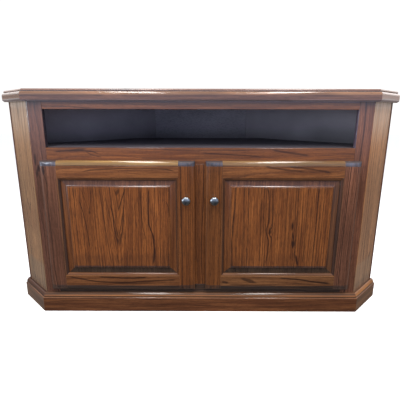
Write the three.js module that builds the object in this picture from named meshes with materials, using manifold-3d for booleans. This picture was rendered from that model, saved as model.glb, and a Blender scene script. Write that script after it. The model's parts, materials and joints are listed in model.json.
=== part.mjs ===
// Corner television cabinet for a 90 degree room corner: an oak carcase with a
// five-sided plan, an open equipment bay above two raised-panel doors, a
// moulded top and a moulded base.
// Millimetres, +Z up. The front faces -Y, the room corner is behind, at +Y.
// Design frame: the face frame's front is the plane y = 0 and the floor is z = 0.
// The whole group is then moved along Y so that the origin is the middle of the
// footprint box.

import * as THREE from 'three';
import { mergeVertices } from 'three/addons/utils/BufferGeometryUtils.js';
import Module from 'manifold-3d';

const wasm = await Module();
wasm.setup();
const { Manifold, Mesh } = wasm;

// ---------------------------------------------------------------- dimensions
const HEIGHT = 762;          // floor to top
const CARCASE_H = 743;       // carcase without the top panel
const FACE_HALF = 549;       // half width of the face frame
const CANT_LEN = 162;        // length of each 45 degree side panel
const DEPTH = 560;           // face frame front to the cut-off rear
const BOARD = 19;            // board thickness
const BACK_T = 12;           // back panel thickness
const STRIP_W = 16;          // solid edging on the rear edge of a side panel
const GAP = 0.2;             // hairline joint between neighbouring pieces

const STILE_HALF_OPEN = 500; // half width of the openings in the face frame
const TOP_RAIL_Z = 700.5;    // underside of the top rail
const BAY_Z = 579.5;         // floor of the open bay, top of the middle rail
const MID_RAIL_Z = 526.5;    // underside of the middle rail
const DECK_Z = 98.5;         // top of the bottom deck and of the bottom rail
const BOT_RAIL_Z = 38.5;     // underside of the bottom rail
const CENTRE_STILE_HALF = 30.5;

const SLAB_Z = 724;          // underside of the top moulding
const SLAB_U = 19;           // how far the top moulding stands out
const BASE_H = 68;           // height of the base moulding
const CORNER_R = 9;          // eased upright corner between the face frame and the canted side
const BASE_U = 17;           // how far the base moulding stands out

const DOOR_T = 19;
const DOOR_GAP = 3;          // door back to face frame front
const DOOR_OUT = 519.5;      // outer edge of a door
const DOOR_IN = 17.5;        // inner edge of a door
const DOOR_Z0 = 85.5;
const DOOR_Z1 = 539.5;
const DOOR_MEMBER = 54;      // outer edge to the joint line of rail and stile
const STICK_W = 10;          // width of the moulded inner edge
const FIELD_V = 32;          // joint line to the raised field

const KNOB_X = 46;
const KNOB_Z = 412;
const KNOB_L = 25;
const KNOB_R = 14.2;

const PIVOT_X = 511.7;       // door hinge axis
const PIVOT_Y = -13;
const HINGE_Z = [165, 460];
const CUP_X = 499.5;         // middle of a hinge cup
const CUP_R = 17.5;
const CUP_DEPTH = 13;
const CUP_WALL = 0.8;
const ARM_HALF = 4.4;        // half height of a hinge arm

const SHELF_Z = 310;         // underside of the adjustable shelves
const SHELF_REAR = 400;
const PIN_R = 2.5;
const BAY_SHELF_REAR = 500;  // leaves a cable slot behind the bay shelf
const CABLE_GAP_Z = 158.5;   // underside of the centre back panel

const C = Math.SQRT1_2;
const MITRE = Math.tan(Math.PI / 8);
const Y_SHIFT = -(DEPTH - DOOR_GAP - DOOR_T - KNOB_L) / 2;

// ----------------------------------------------------------------- materials
const wood = (r, g, b, rough = 0.42) => new THREE.MeshStandardMaterial({ color: new THREE.Color(r, g, b), roughness: rough, metalness: 0 });
const OAK_RAIL = () => wood(0.36, 0.18, 0.09);
const OAK_STILE = () => wood(0.26, 0.15, 0.12);
const OAK_PANEL = () => wood(0.30, 0.14, 0.08);
const OAK_SIDE = () => wood(0.46, 0.34, 0.24);
const OAK_BASE = () => wood(0.22, 0.12, 0.08);
const PLY_DARK = () => wood(0.03, 0.03, 0.035, 0.55);
const PLY = () => wood(0.42, 0.27, 0.16, 0.6);
const METAL = () => new THREE.MeshStandardMaterial({ color: new THREE.Color(0.33, 0.34, 0.38), roughness: 0.32, metalness: 1 });
const STEEL = () => new THREE.MeshStandardMaterial({ color: new THREE.Color(0.6, 0.6, 0.62), roughness: 0.35, metalness: 1 });
const RUBBER = () => new THREE.MeshStandardMaterial({ color: new THREE.Color(0.55, 0.55, 0.55), roughness: 0.7, metalness: 0 });

// ------------------------------------------------------------ solid utilities
function clean(geometry) {
  const g = geometry.index ? geometry.clone() : geometry.clone();
  g.deleteAttribute('normal');
  g.deleteAttribute('uv');
  return mergeVertices(g, 1e-5);
}

function signedVolume(g) {
  const p = g.getAttribute('position'), ix = g.index.array;
  const a = new THREE.Vector3(), b = new THREE.Vector3(), c = new THREE.Vector3();
  let v = 0;
  for (let i = 0; i < ix.length; i += 3) {
    a.fromBufferAttribute(p, ix[i]); b.fromBufferAttribute(p, ix[i + 1]); c.fromBufferAttribute(p, ix[i + 2]);
    v += a.dot(b.cross(c));
  }
  return v / 6;
}

function outward(g) {
  if (signedVolume(g) < 0) {
    const ix = g.index.array;
    for (let i = 0; i < ix.length; i += 3) { const t = ix[i]; ix[i] = ix[i + 1]; ix[i + 1] = t; }
  }
  return g;
}

// every shape is handled as a welded, outward-facing geometry
const weld = (geometry) => outward(clean(geometry));

function toManifold(g) {
  return new Manifold(new Mesh({
    numProp: 3,
    vertProperties: new Float32Array(g.getAttribute('position').array),
    triVerts: new Uint32Array(g.index.array),
  }));
}

function fromManifold(m) {
  const r = m.getMesh();
  const g = new THREE.BufferGeometry();
  g.setAttribute('position', new THREE.BufferAttribute(new Float32Array(r.vertProperties), 3));
  g.setIndex(new THREE.BufferAttribute(new Uint32Array(r.triVerts), 1));
  return g;
}

const cut = (g, ...tools) => fromManifold(tools.reduce((m, t) => m.subtract(toManifold(t)), toManifold(g)));
const join = (g, ...more) => fromManifold(more.reduce((m, t) => m.add(toManifold(t)), toManifold(g)));
const common = (g, ...more) => fromManifold(more.reduce((m, t) => m.intersect(toManifold(t)), toManifold(g)));

function box(x0, x1, y0, y1, z0, z1) {
  const g = new THREE.BoxGeometry(x1 - x0, y1 - y0, z1 - z0);
  g.translate((x0 + x1) / 2, (y0 + y1) / 2, (z0 + z1) / 2);
  return weld(g);
}

function shapeOf(points) {
  return new THREE.Shape(points.map(([x, y]) => new THREE.Vector2(x, y)));
}

// extrude an outline and map each vertex (a, b, w) with fn, w running 0..1
function sweep(points, fn) {
  const g = new THREE.ExtrudeGeometry(shapeOf(points), { depth: 1, bevelEnabled: false, steps: 1 });
  const p = g.getAttribute('position');
  for (let i = 0; i < p.count; i++) {
    const [x, y, z] = fn(p.getX(i), p.getY(i), p.getZ(i));
    p.setXYZ(i, x, y, z);
  }
  return weld(g);
}

// plan outline (x, y) between two heights
const plate = (points, z0, z1) => sweep(points, (x, y, w) => [x, y, z0 + w * (z1 - z0)]);

// section (y, z) drawn out along X, and section (x, y) drawn out along Z
const alongX = (points, x0, x1) => sweep(points, (y, z, w) => [x0 + w * (x1 - x0), y, z]);
const alongZ = (points, z0, z1) => sweep(points, (x, y, w) => [x, y, z0 + w * (z1 - z0)]);
// outline (x, z) drawn out along Y
const alongY = (points, y0, y1) => sweep(points, (x, z, w) => [x, y0 + w * (y1 - y0), z]);

// a moulding: section (u, z), u standing out from the carcase, run between mitres
function moulding(section, origin, dir, out, length, mitreA, mitreB) {
  return sweep(section, (u, z, w) => {
    const s0 = -mitreA * u + GAP / 2, s1 = length + mitreB * u - GAP / 2;
    const s = s0 + w * (s1 - s0);
    return [origin[0] + dir[0] * s + out[0] * u, origin[1] + dir[1] * s + out[1] * u, z];
  });
}

// a turned shape about a line through (x, z) parallel to Y; profile [radius, y]
function turnedY(profile, x, z, segments) {
  const g = new THREE.LatheGeometry(profile.map(([r, h]) => new THREE.Vector2(r, h)), segments);
  g.translate(x, 0, z);
  // the lathe turns about Y through the origin, so shift its plane into place
  return weld(g);
}

function cylinder(radius, length, segments, centre, dir) {
  const g = new THREE.CylinderGeometry(radius, radius, length, segments);
  g.applyQuaternion(new THREE.Quaternion().setFromUnitVectors(new THREE.Vector3(0, 1, 0), new THREE.Vector3(...dir).normalize()));
  g.translate(...centre);
  return weld(g);
}

function mirrored(g) {
  const m = g.clone();
  const p = m.getAttribute('position');
  for (let i = 0; i < p.count; i++) p.setX(i, -p.getX(i));
  return outward(m);
}

const cabinet = new THREE.Group();
function add(name, geometry, material) {
  const g = geometry.clone();
  const flat = g.toNonIndexed();
  flat.computeVertexNormals();
  const mesh = new THREE.Mesh(flat, material);
  mesh.name = name;
  cabinet.add(mesh);
}
function addPair(name, leftGeometry, makeMaterial, suffix = '') {
  add(`${name}_left${suffix}`, leftGeometry, makeMaterial());
  add(`${name}_right${suffix}`, mirrored(leftGeometry), makeMaterial());
}

// ----------------------------------------------------------- plan of the body
// Left canted side: d runs from the front corner to the wall, e runs along the wall.
const CORNER = [-FACE_HALF, 0];
const D = [-C, C];
const E = [C, C];
const OUT = [-C, -C];
const plan = (d, e) => [CORNER[0] + D[0] * d + E[0] * e, CORNER[1] + D[1] * d + E[1] * e];
const planAtY = (d, y) => plan(d, y / C - d);          // on a line parallel to the wall
const planAtYFront = (e, y) => plan(y / C - e, e);     // on a line parallel to the side
const both = (left) => left.concat(left.slice().reverse().map(([x, y]) => [-x, y]));

// -------------------------------------------------------------------- top
add('top_panel', plate(both([
  [-FACE_HALF, 0],
  plan(CANT_LEN, 0),
  planAtY(CANT_LEN, DEPTH),
]), CARCASE_H + GAP, HEIGHT), OAK_RAIL());

const roundOver = (u0, z0, u1, z1, n, vertFirst) => {
  // quarter curve between two points, leaving the first one vertically or level
  const pts = [];
  for (let i = 0; i <= n; i++) {
    const a = (Math.PI / 2) * (i / n);
    pts.push(vertFirst
      ? [u0 + (u1 - u0) * (1 - Math.cos(a)), z0 + (z1 - z0) * Math.sin(a)]
      : [u0 + (u1 - u0) * Math.sin(a), z0 + (z1 - z0) * (1 - Math.cos(a))]);
  }
  return pts;
};

const topSection = [
  [GAP, SLAB_Z],
  [13.6, SLAB_Z],
  [13.6, SLAB_Z + 2.2],
  ...roundOver(14.4, SLAB_Z + 2.2, SLAB_U, SLAB_Z + 7.6, 4, false),
  ...roundOver(SLAB_U, HEIGHT - 18.5, 13.4, HEIGHT - 8.6, 5, true),
  [11.2, HEIGHT - 8.3],
  [11.2, HEIGHT - 6.8],
  [12.4, HEIGHT - 6.4],
  ...roundOver(12.4, HEIGHT - 6.2, 7.6, HEIGHT, 5, true),
  [GAP, HEIGHT],
];
add('top_moulding_front', moulding(topSection, CORNER, [1, 0], [0, -1], 2 * FACE_HALF, MITRE, MITRE), OAK_RAIL());
addPair('top_moulding', moulding(topSection, CORNER, D, OUT, CANT_LEN, MITRE, 0), OAK_SIDE);

// ------------------------------------------------------------- face frame
// half of the eased corner: [along the face, inwards], from the mitre to the flat
const easedCorner = Array.from({ length: 4 }, (_, i) => {
  const a = (Math.PI / 8) * (1 - i / 3);
  return [GAP + CORNER_R * (MITRE - Math.sin(a)), CORNER_R * (1 - Math.cos(a))];
});
addPair('face_stile', plate([
  ...easedCorner.map(([a, b]) => [-FACE_HALF + a, b]),
  [-STILE_HALF_OPEN, 0],
  [-STILE_HALF_OPEN, BOARD],
  [-FACE_HALF + BOARD * MITRE + GAP, BOARD],
], 0, CARCASE_H), OAK_STILE);
add('face_rail_top', box(-STILE_HALF_OPEN + GAP, STILE_HALF_OPEN - GAP, 0, BOARD, TOP_RAIL_Z, CARCASE_H), OAK_RAIL());
add('face_rail_middle', box(-STILE_HALF_OPEN + GAP, STILE_HALF_OPEN - GAP, 0, BOARD, MID_RAIL_Z, BAY_Z), OAK_RAIL());
add('face_rail_bottom', box(-STILE_HALF_OPEN + GAP, STILE_HALF_OPEN - GAP, 0, BOARD, BOT_RAIL_Z, DECK_Z), OAK_RAIL());
add('face_stile_centre', box(-CENTRE_STILE_HALF, CENTRE_STILE_HALF, 0, BOARD, DECK_Z + GAP, MID_RAIL_Z - GAP), OAK_STILE());

// ------------------------------------------------------ sides and back
const PIN_SPOTS = [48, 112];   // distance along the canted side
const PIN_Y = [70, 330];       // depth along the partition
const PIN_IN = 8;
const PIN_OUT_LEN = 9;
const pinZ = SHELF_Z - PIN_R - GAP;
const dir3 = (v) => [v[0], v[1], 0];

const sidePanel = plate([
  ...easedCorner.map(([a, b]) => plan(a, b)),
  plan(CANT_LEN - STRIP_W - GAP / 2, 0),
  plan(CANT_LEN - STRIP_W - GAP / 2, BOARD),
  plan(BOARD * MITRE + GAP, BOARD),
], 0, CARCASE_H);
const sideHoles = PIN_SPOTS.map((s) => {
  const c = plan(s, BOARD - PIN_IN / 2 + 0.5);
  return cylinder(PIN_R + 0.15, PIN_IN + 1.6, 12, [c[0], c[1], pinZ], dir3(E));
});
addPair('side_panel', cut(sidePanel, ...sideHoles), OAK_SIDE);
addPair('side_edge_strip', plate([
  plan(CANT_LEN - STRIP_W + GAP / 2, 0),
  plan(CANT_LEN, 0),
  plan(CANT_LEN, BOARD),
  plan(CANT_LEN - STRIP_W + GAP / 2, BOARD),
], 0, CARCASE_H), OAK_STILE);

const rearOuter = planAtY(CANT_LEN, DEPTH);
const rearInner = planAtY(CANT_LEN - BACK_T, DEPTH - BACK_T);
addPair('back_panel', plate([
  plan(CANT_LEN, BOARD + GAP),
  rearOuter,
  rearInner,
  plan(CANT_LEN - BACK_T, BOARD + GAP),
], 0, CARCASE_H), PLY);
const rearOutline = [
  [rearOuter[0] + GAP * 1.5, DEPTH],
  [rearInner[0] + GAP * 1.5, DEPTH - BACK_T],
  [-rearInner[0] - GAP * 1.5, DEPTH - BACK_T],
  [-rearOuter[0] - GAP * 1.5, DEPTH],
];
add('back_panel_centre', plate(rearOutline, CABLE_GAP_Z, CARCASE_H), PLY());
add('rear_toe_board', plate(rearOutline, 0, DECK_Z), PLY());

// --------------------------------------------------- decks and shelves
const IN_E = BOARD + GAP;                    // just inside the canted side
const IN_D = CANT_LEN - BACK_T - GAP;        // just inside the wall-side back
const IN_Y = DEPTH - BACK_T - GAP;
const FRONT_Y = BOARD + GAP;
add('bottom_deck', plate(both([
  planAtYFront(IN_E, FRONT_Y),
  plan(IN_D, IN_E),
  planAtY(IN_D, IN_Y),
]), DECK_Z - BOARD, DECK_Z), PLY());
add('compartment_shelf', plate(both([
  planAtYFront(IN_E, FRONT_Y),
  plan(IN_D, IN_E),
  planAtY(IN_D, BAY_SHELF_REAR),
]), BAY_Z - BOARD, BAY_Z), PLY_DARK());

const partition = box(-BOARD / 2, BOARD / 2, FRONT_Y, IN_Y, DECK_Z + GAP, BAY_Z - BOARD - GAP);
const partitionHoles = PIN_Y.flatMap((y) => [-1, 1].map((s) =>
  cylinder(PIN_R + 0.15, PIN_IN + 1.4, 12, [s * (BOARD / 2 - PIN_IN / 2 + 0.5), y, pinZ], [1, 0, 0])));
add('centre_partition', cut(partition, ...partitionHoles), PLY());

const LOOSE = 2;
addPair('adjustable_shelf', plate([
  [-BOARD / 2 - LOOSE, 40],
  planAtYFront(BOARD + LOOSE, 40),
  plan(CANT_LEN - BACK_T - LOOSE, BOARD + LOOSE),
  planAtY(CANT_LEN - BACK_T - LOOSE, SHELF_REAR),
  [-BOARD / 2 - LOOSE, SHELF_REAR],
], SHELF_Z, SHELF_Z + BOARD), PLY);

// shelf pins: a plain peg in a blind hole of the board, carrying the shelf on its free end
function sidePin(s) {
  const peg = plan(s, BOARD + (PIN_OUT_LEN - PIN_IN) / 2);
  return cylinder(PIN_R, PIN_IN + PIN_OUT_LEN, 12, [peg[0], peg[1], pinZ], dir3(E));
}
function partitionPin(y) {
  return cylinder(PIN_R, PIN_IN + PIN_OUT_LEN, 12, [-(BOARD / 2 + (PIN_OUT_LEN - PIN_IN) / 2), y, pinZ], [1, 0, 0]);
}
addPair('shelf_pin_side_front', sidePin(PIN_SPOTS[0]), STEEL);
addPair('shelf_pin_side_rear', sidePin(PIN_SPOTS[1]), STEEL);
addPair('shelf_pin_middle_front', partitionPin(PIN_Y[0]), STEEL);
addPair('shelf_pin_middle_rear', partitionPin(PIN_Y[1]), STEEL);

// ------------------------------------------------------------------- base
const baseSection = [
  [GAP, 0],
  [BASE_U, 0],
  ...roundOver(BASE_U, 50.0, 14.2, 53.4, 4, true),
  [12.4, 54.0],
  [12.4, 56.6],
  [13.4, 57.2],
  [13.0, 58.4],
  [10.9, 61.9],
  [8.4, 65.3],
  [6.8, 67.2],
  [5.8, BASE_H],
  [GAP, BASE_H],
];
add('base_moulding_front', moulding(baseSection, CORNER, [1, 0], [0, -1], 2 * FACE_HALF, MITRE, MITRE), OAK_BASE());
addPair('base_moulding', moulding(baseSection, CORNER, D, OUT, CANT_LEN, MITRE, 0), OAK_BASE);

// ------------------------------------------------------------------ doors
// Built for the left door and mirrored. t is the depth from the door's face.
const DOOR_FACE = -DOOR_GAP - DOOR_T;
const yOf = (t) => DOOR_FACE + t;

// thumbnail outer edge: [inwards from the edge, depth from the face]
const EDGE = [[0, DOOR_T], ...Array.from({ length: 7 }, (_, i) => {
  const a = (Math.PI / 2) * (i / 6);
  return [14.4 * (1 - Math.cos(a)), 9.9 - 8.2 * Math.sin(a)];
}), [15.2, 1.7], [15.5, 0]];
// moulded inner edge: [from the joint line into the opening, depth from the face]
const STICK = [[0, 0], [0.3, 1.4], ...Array.from({ length: 6 }, (_, i) => {
  const a = (Math.PI / 2) * (i / 5);
  return [1 + (STICK_W - 1) * Math.sin(a), 6.4 - 5 * Math.cos(a)];
}), [STICK_W, DOOR_T]];

// closed outline (position, y) from an edge profile applied at both ends
function slabOutline(lo, hi) {
  const a = EDGE.map(([u, t]) => [lo + u, yOf(t)]);
  const b = EDGE.map(([u, t]) => [hi - u, yOf(t)]).reverse();
  return a.concat(b);
}
function openingOutline(lo, hi) {
  const front = [[lo, yOf(-5)]], back = [];
  const a = STICK.map(([v, t]) => [lo + v, yOf(t)]);
  const b = STICK.map(([v, t]) => [hi - v, yOf(t)]).reverse();
  return [...front, ...a, [lo + STICK_W, yOf(DOOR_T + 5)], [hi - STICK_W, yOf(DOOR_T + 5)], ...b, [hi, yOf(-5)], ...back];
}
const swap = (pts) => pts.map(([a, y]) => [y, a]);

const X0 = -DOOR_OUT, X1 = -DOOR_IN;
const JX0 = X0 + DOOR_MEMBER, JX1 = X1 - DOOR_MEMBER;
const JZ0 = DOOR_Z0 + DOOR_MEMBER, JZ1 = DOOR_Z1 - DOOR_MEMBER;

const doorBlank = common(alongZ(slabOutline(X0, X1), DOOR_Z0, DOOR_Z1), alongX(swap(slabOutline(DOOR_Z0, DOOR_Z1)), X0, X1));
const doorOpening = common(alongZ(openingOutline(JX0, JX1), JZ0 - 1, JZ1 + 1), alongX(swap(openingOutline(JZ0, JZ1)), JX0 - 1, JX1 + 1));
const GROOVE_IN = 0.5, GROOVE_T0 = 8, GROOVE_T1 = 14;
const groove = box(JX0 + GROOVE_IN, JX1 - GROOVE_IN, yOf(GROOVE_T0), yOf(GROOVE_T1), JZ0 + GROOVE_IN, JZ1 - GROOVE_IN);
const cupBores = HINGE_Z.map((z) => cylinder(CUP_R + 0.2, CUP_DEPTH + 0.2 + 2, 32, [-CUP_X, -DOOR_GAP - (CUP_DEPTH + 0.2) / 2 + 1, z], [0, 1, 0]));
const knobHole = cylinder(2.3, DOOR_T + 4, 16, [-KNOB_X, DOOR_FACE + DOOR_T / 2, KNOB_Z], [0, 1, 0]);
const doorFrame = cut(doorBlank, doorOpening, groove, ...cupBores, knobHole);

// the members part along the joint lines, with a mitre across the moulded edge
const H = GAP / 2;
const Y0 = yOf(-1), Y1 = yOf(DOOR_T + 1);
const stileRegion = (edge, joint, s) => alongY([
  [edge - s, DOOR_Z0 - 1],
  [joint - s * H, DOOR_Z0 - 1],
  [joint - s * H, JZ0 + H],
  [joint + s * (STICK_W + 1), JZ0 + STICK_W + 1 + 2 * H],
  [joint + s * (STICK_W + 1), JZ1 - STICK_W - 1 - 2 * H],
  [joint - s * H, JZ1 - H],
  [joint - s * H, DOOR_Z1 + 1],
  [edge - s, DOOR_Z1 + 1],
], Y0, Y1);
const railRegion = (edge, joint, s) => alongY([
  [JX0 + H, edge - s],
  [JX0 + H, joint - s * H],
  [JX0 + STICK_W + 1 + 2 * H, joint + s * (STICK_W + 1)],
  [JX1 - STICK_W - 1 - 2 * H, joint + s * (STICK_W + 1)],
  [JX1 - H, joint - s * H],
  [JX1 - H, edge - s],
], Y0, Y1);
const doorParts = {
  stile_outer: [common(doorFrame, stileRegion(X0, JX0, 1)), OAK_STILE],
  stile_inner: [common(doorFrame, stileRegion(X1, JX1, -1)), OAK_STILE],
  rail_bottom: [common(doorFrame, railRegion(DOOR_Z0, JZ0, 1)), OAK_RAIL],
  rail_top: [common(doorFrame, railRegion(DOOR_Z1, JZ1, -1)), OAK_RAIL],
};

// raised panel: tongue, slope, cove and a small step up to the field
const TONGUE_V = 1.6, TONGUE_T = 8.3, PANEL_BACK = 13.7, FIELD_T = 1.2;
const PANEL = [
  [TONGUE_V, PANEL_BACK],
  [TONGUE_V, TONGUE_T],
  [STICK_W - 0.6, TONGUE_T],
  [FIELD_V - 7, 6.9],
  [FIELD_V - 4.4, 6.2],
  [FIELD_V - 2.4, 5.0],
  [FIELD_V - 1.0, 3.2],
  [FIELD_V - 0.6, 2.6],
  [FIELD_V - 0.2, 2.6],
  [FIELD_V, FIELD_T],
];
const panelOutline = (lo, hi) => PANEL.map(([v, t]) => [lo + v, yOf(t)]).concat(PANEL.map(([v, t]) => [hi - v, yOf(t)]).reverse());
doorParts.raised_panel = [common(
  alongZ(panelOutline(JX0, JX1), JZ0, JZ1),
  alongX(swap(panelOutline(JZ0, JZ1)), JX0, JX1)), OAK_PANEL];

// knob and its screw
const kf = DOOR_FACE - 0.2;
doorParts.knob = [turnedY([
  [0, kf - 10.5], [2.2, kf - 10.5], [2.2, kf],
  [6.6, kf], [6.8, kf - 1.0], [5.6, kf - 2.2], [4.4, kf - 4.5], [4.2, kf - 8.5],
  [5.4, kf - 11.2], [9.4, kf - 13.4], [12.9, kf - 15.4], [KNOB_R, kf - 17.6],
  [KNOB_R - 0.2, kf - 19.4], [13.2, kf - 21.4], [11.2, kf - 23.1], [7.8, kf - 24.1], [3.8, kf - 24.6], [0, -DOOR_GAP - DOOR_T - KNOB_L],
], -KNOB_X, KNOB_Z, 28), METAL];
doorParts.knob_screw = [turnedY([
  [0, kf - 9.6], [2.0, kf - 9.6], [2.0, -DOOR_GAP + 0.2], [4.4, -DOOR_GAP + 0.2], [4.4, -DOOR_GAP + 1.4], [3.2, -DOOR_GAP + 2.3], [0, -DOOR_GAP + 2.5],
], -KNOB_X, KNOB_Z, 16), STEEL];

// hinge cup: hollow cup in the stile with a flange on the door's back
function hingeCup(z) {
  const mouth = -DOOR_GAP;
  const body = turnedY([
    [0, mouth - CUP_DEPTH], [CUP_R, mouth - CUP_DEPTH], [CUP_R, mouth + 0.2], [CUP_R, mouth + 0.6], [CUP_R - CUP_WALL, mouth + 0.6],
    [CUP_R - CUP_WALL, mouth - CUP_DEPTH + 0.8], [0, mouth - CUP_DEPTH + 0.8],
  ], -CUP_X, z, 32);
  const plateX0 = -PIVOT_X + 3, plateX1 = -CUP_X + 14;
  const flange = box(plateX0, plateX1, mouth + 0.2, mouth + 1.4, z - 30, z + 30);
  const hole = cylinder(CUP_R - CUP_WALL, 8, 32, [-CUP_X, mouth, z], [0, 1, 0]);
  const heads = [-24, 24].map((dz) => turnedY([[0, mouth + 1.2], [3.6, mouth + 1.2], [3.2, mouth + 1.9], [0, mouth + 2.1]], -CUP_X, z + dz, 12));
  return cut(join(body, flange, ...heads), hole.clone().translate(0, 0.2 + 4, 0));
}
doorParts.hinge_cup_lower = [hingeCup(HINGE_Z[0]), STEEL];
doorParts.hinge_cup_upper = [hingeCup(HINGE_Z[1]), STEEL];

// bumpers on the door's back, meeting the centre stile
const bumper = (z) => turnedY([[0, -DOOR_GAP + 0.2], [4.6, -DOOR_GAP + 0.2], [4.8, -DOOR_GAP + 1.2], [3.8, -DOOR_GAP + 2.5], [0, -DOOR_GAP + 2.7]], -DOOR_IN - 6.5, z, 16);
doorParts.bumper_lower = [bumper(112), RUBBER];
doorParts.bumper_upper = [bumper(512), RUBBER];

for (const [name, [g, material]] of Object.entries(doorParts)) {
  add(`door_left_${name}`, g, material());
  add(`door_right_${name}`, mirrored(g), material());
}

// hinge plate on the frame's inner edge, with the arm that reaches into the cup
function hingePlate(z) {
  const px = -STILE_HALF_OPEN + 0.3;
  const armX = -PIVOT_X + 12.7;
  return join(
    box(px, px + 1.4, 0.8, BOARD - 0.6, z - 24, z + 24),
    box(armX - 0.6, armX + 0.6, PIVOT_Y - 0.6, 1.6, z - ARM_HALF, z + ARM_HALF),
    box(-PIVOT_X, armX + 0.6, PIVOT_Y - 0.6, PIVOT_Y + 0.6, z - ARM_HALF, z + ARM_HALF),
    cylinder(1.8, 2 * ARM_HALF, 16, [-PIVOT_X, PIVOT_Y, z], [0, 0, 1]),
    ...[-15, 15].map((dz) => cylinder(3.4, 1.6, 12, [px + 1.8, 9.6, z + dz], [1, 0, 0])),
  );
}
addPair('hinge_plate', hingePlate(HINGE_Z[0]), STEEL, '_lower');
addPair('hinge_plate', hingePlate(HINGE_Z[1]), STEEL, '_upper');

cabinet.position.y = Y_SHIFT;
cabinet.updateMatrixWorld(true);

export default cabinet;
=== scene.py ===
import json
import math

import bmesh
import bpy
from mathutils import Matrix, Vector


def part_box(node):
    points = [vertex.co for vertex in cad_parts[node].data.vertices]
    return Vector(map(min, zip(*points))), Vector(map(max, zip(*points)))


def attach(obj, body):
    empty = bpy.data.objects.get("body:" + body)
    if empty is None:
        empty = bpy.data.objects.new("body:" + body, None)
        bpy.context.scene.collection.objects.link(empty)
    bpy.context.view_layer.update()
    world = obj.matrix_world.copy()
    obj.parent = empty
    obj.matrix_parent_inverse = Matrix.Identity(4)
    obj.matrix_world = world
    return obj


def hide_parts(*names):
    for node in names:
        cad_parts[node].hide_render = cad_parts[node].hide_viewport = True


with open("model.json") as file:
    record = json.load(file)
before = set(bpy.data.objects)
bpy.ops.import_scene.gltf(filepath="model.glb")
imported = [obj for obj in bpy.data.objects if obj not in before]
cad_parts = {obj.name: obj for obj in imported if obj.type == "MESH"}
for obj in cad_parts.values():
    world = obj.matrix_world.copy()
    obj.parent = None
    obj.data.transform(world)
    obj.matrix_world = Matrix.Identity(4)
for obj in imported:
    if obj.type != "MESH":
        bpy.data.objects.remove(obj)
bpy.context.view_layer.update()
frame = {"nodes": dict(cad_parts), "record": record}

NODES = frame["nodes"]
BODY_OF = {n: b for b, ns in frame["record"]["behaviour"]["bodies"].items() for n in ns}
SLOT_OF = {s["node"]: s["material_slot"] for s in frame["record"]["subparts"]}
C = math.sqrt(0.5)
MITRE = math.tan(math.pi / 8)

# Lengths below are millimetres in the design frame: face frame front at y = 0, floor at z = 0.
Y_SHIFT = -256.5
FACE_HALF = 549.0
CANT_LEN = 162.0
GAP = 0.2


def to_m(p):
    return (p[0] / 1000.0, (p[1] + Y_SHIFT) / 1000.0, p[2] / 1000.0)


# ------------------------------------------------------------------- camera
def make_camera():
    data = bpy.data.cameras.new("camera")
    cam = bpy.data.objects.new("camera", data)
    bpy.context.scene.collection.objects.link(cam)
    data.sensor_width = 36.0
    data.lens = 345.9 / 400.0 * 36.0
    data.clip_start, data.clip_end = 0.01, 200.0
    pitch, yaw, roll = math.radians(13.877), math.radians(-0.120), math.radians(0.12)
    fwd = Vector((math.sin(yaw) * math.cos(pitch), math.cos(yaw) * math.cos(pitch), -math.sin(pitch)))
    right = fwd.cross(Vector((0, 0, 1))).normalized()
    up = right.cross(fwd)
    r2 = right * math.cos(roll) + up * math.sin(roll)
    u2 = up * math.cos(roll) - right * math.sin(roll)
    m = Matrix((
        (r2.x, u2.x, -fwd.x, 0.0015),
        (r2.y, u2.y, -fwd.y, -1.3808),
        (r2.z, u2.z, -fwd.z, 0.68449),
        (0, 0, 0, 1),
    ))
    cam.matrix_world = m
    bpy.context.scene.camera = cam


make_camera()


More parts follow.
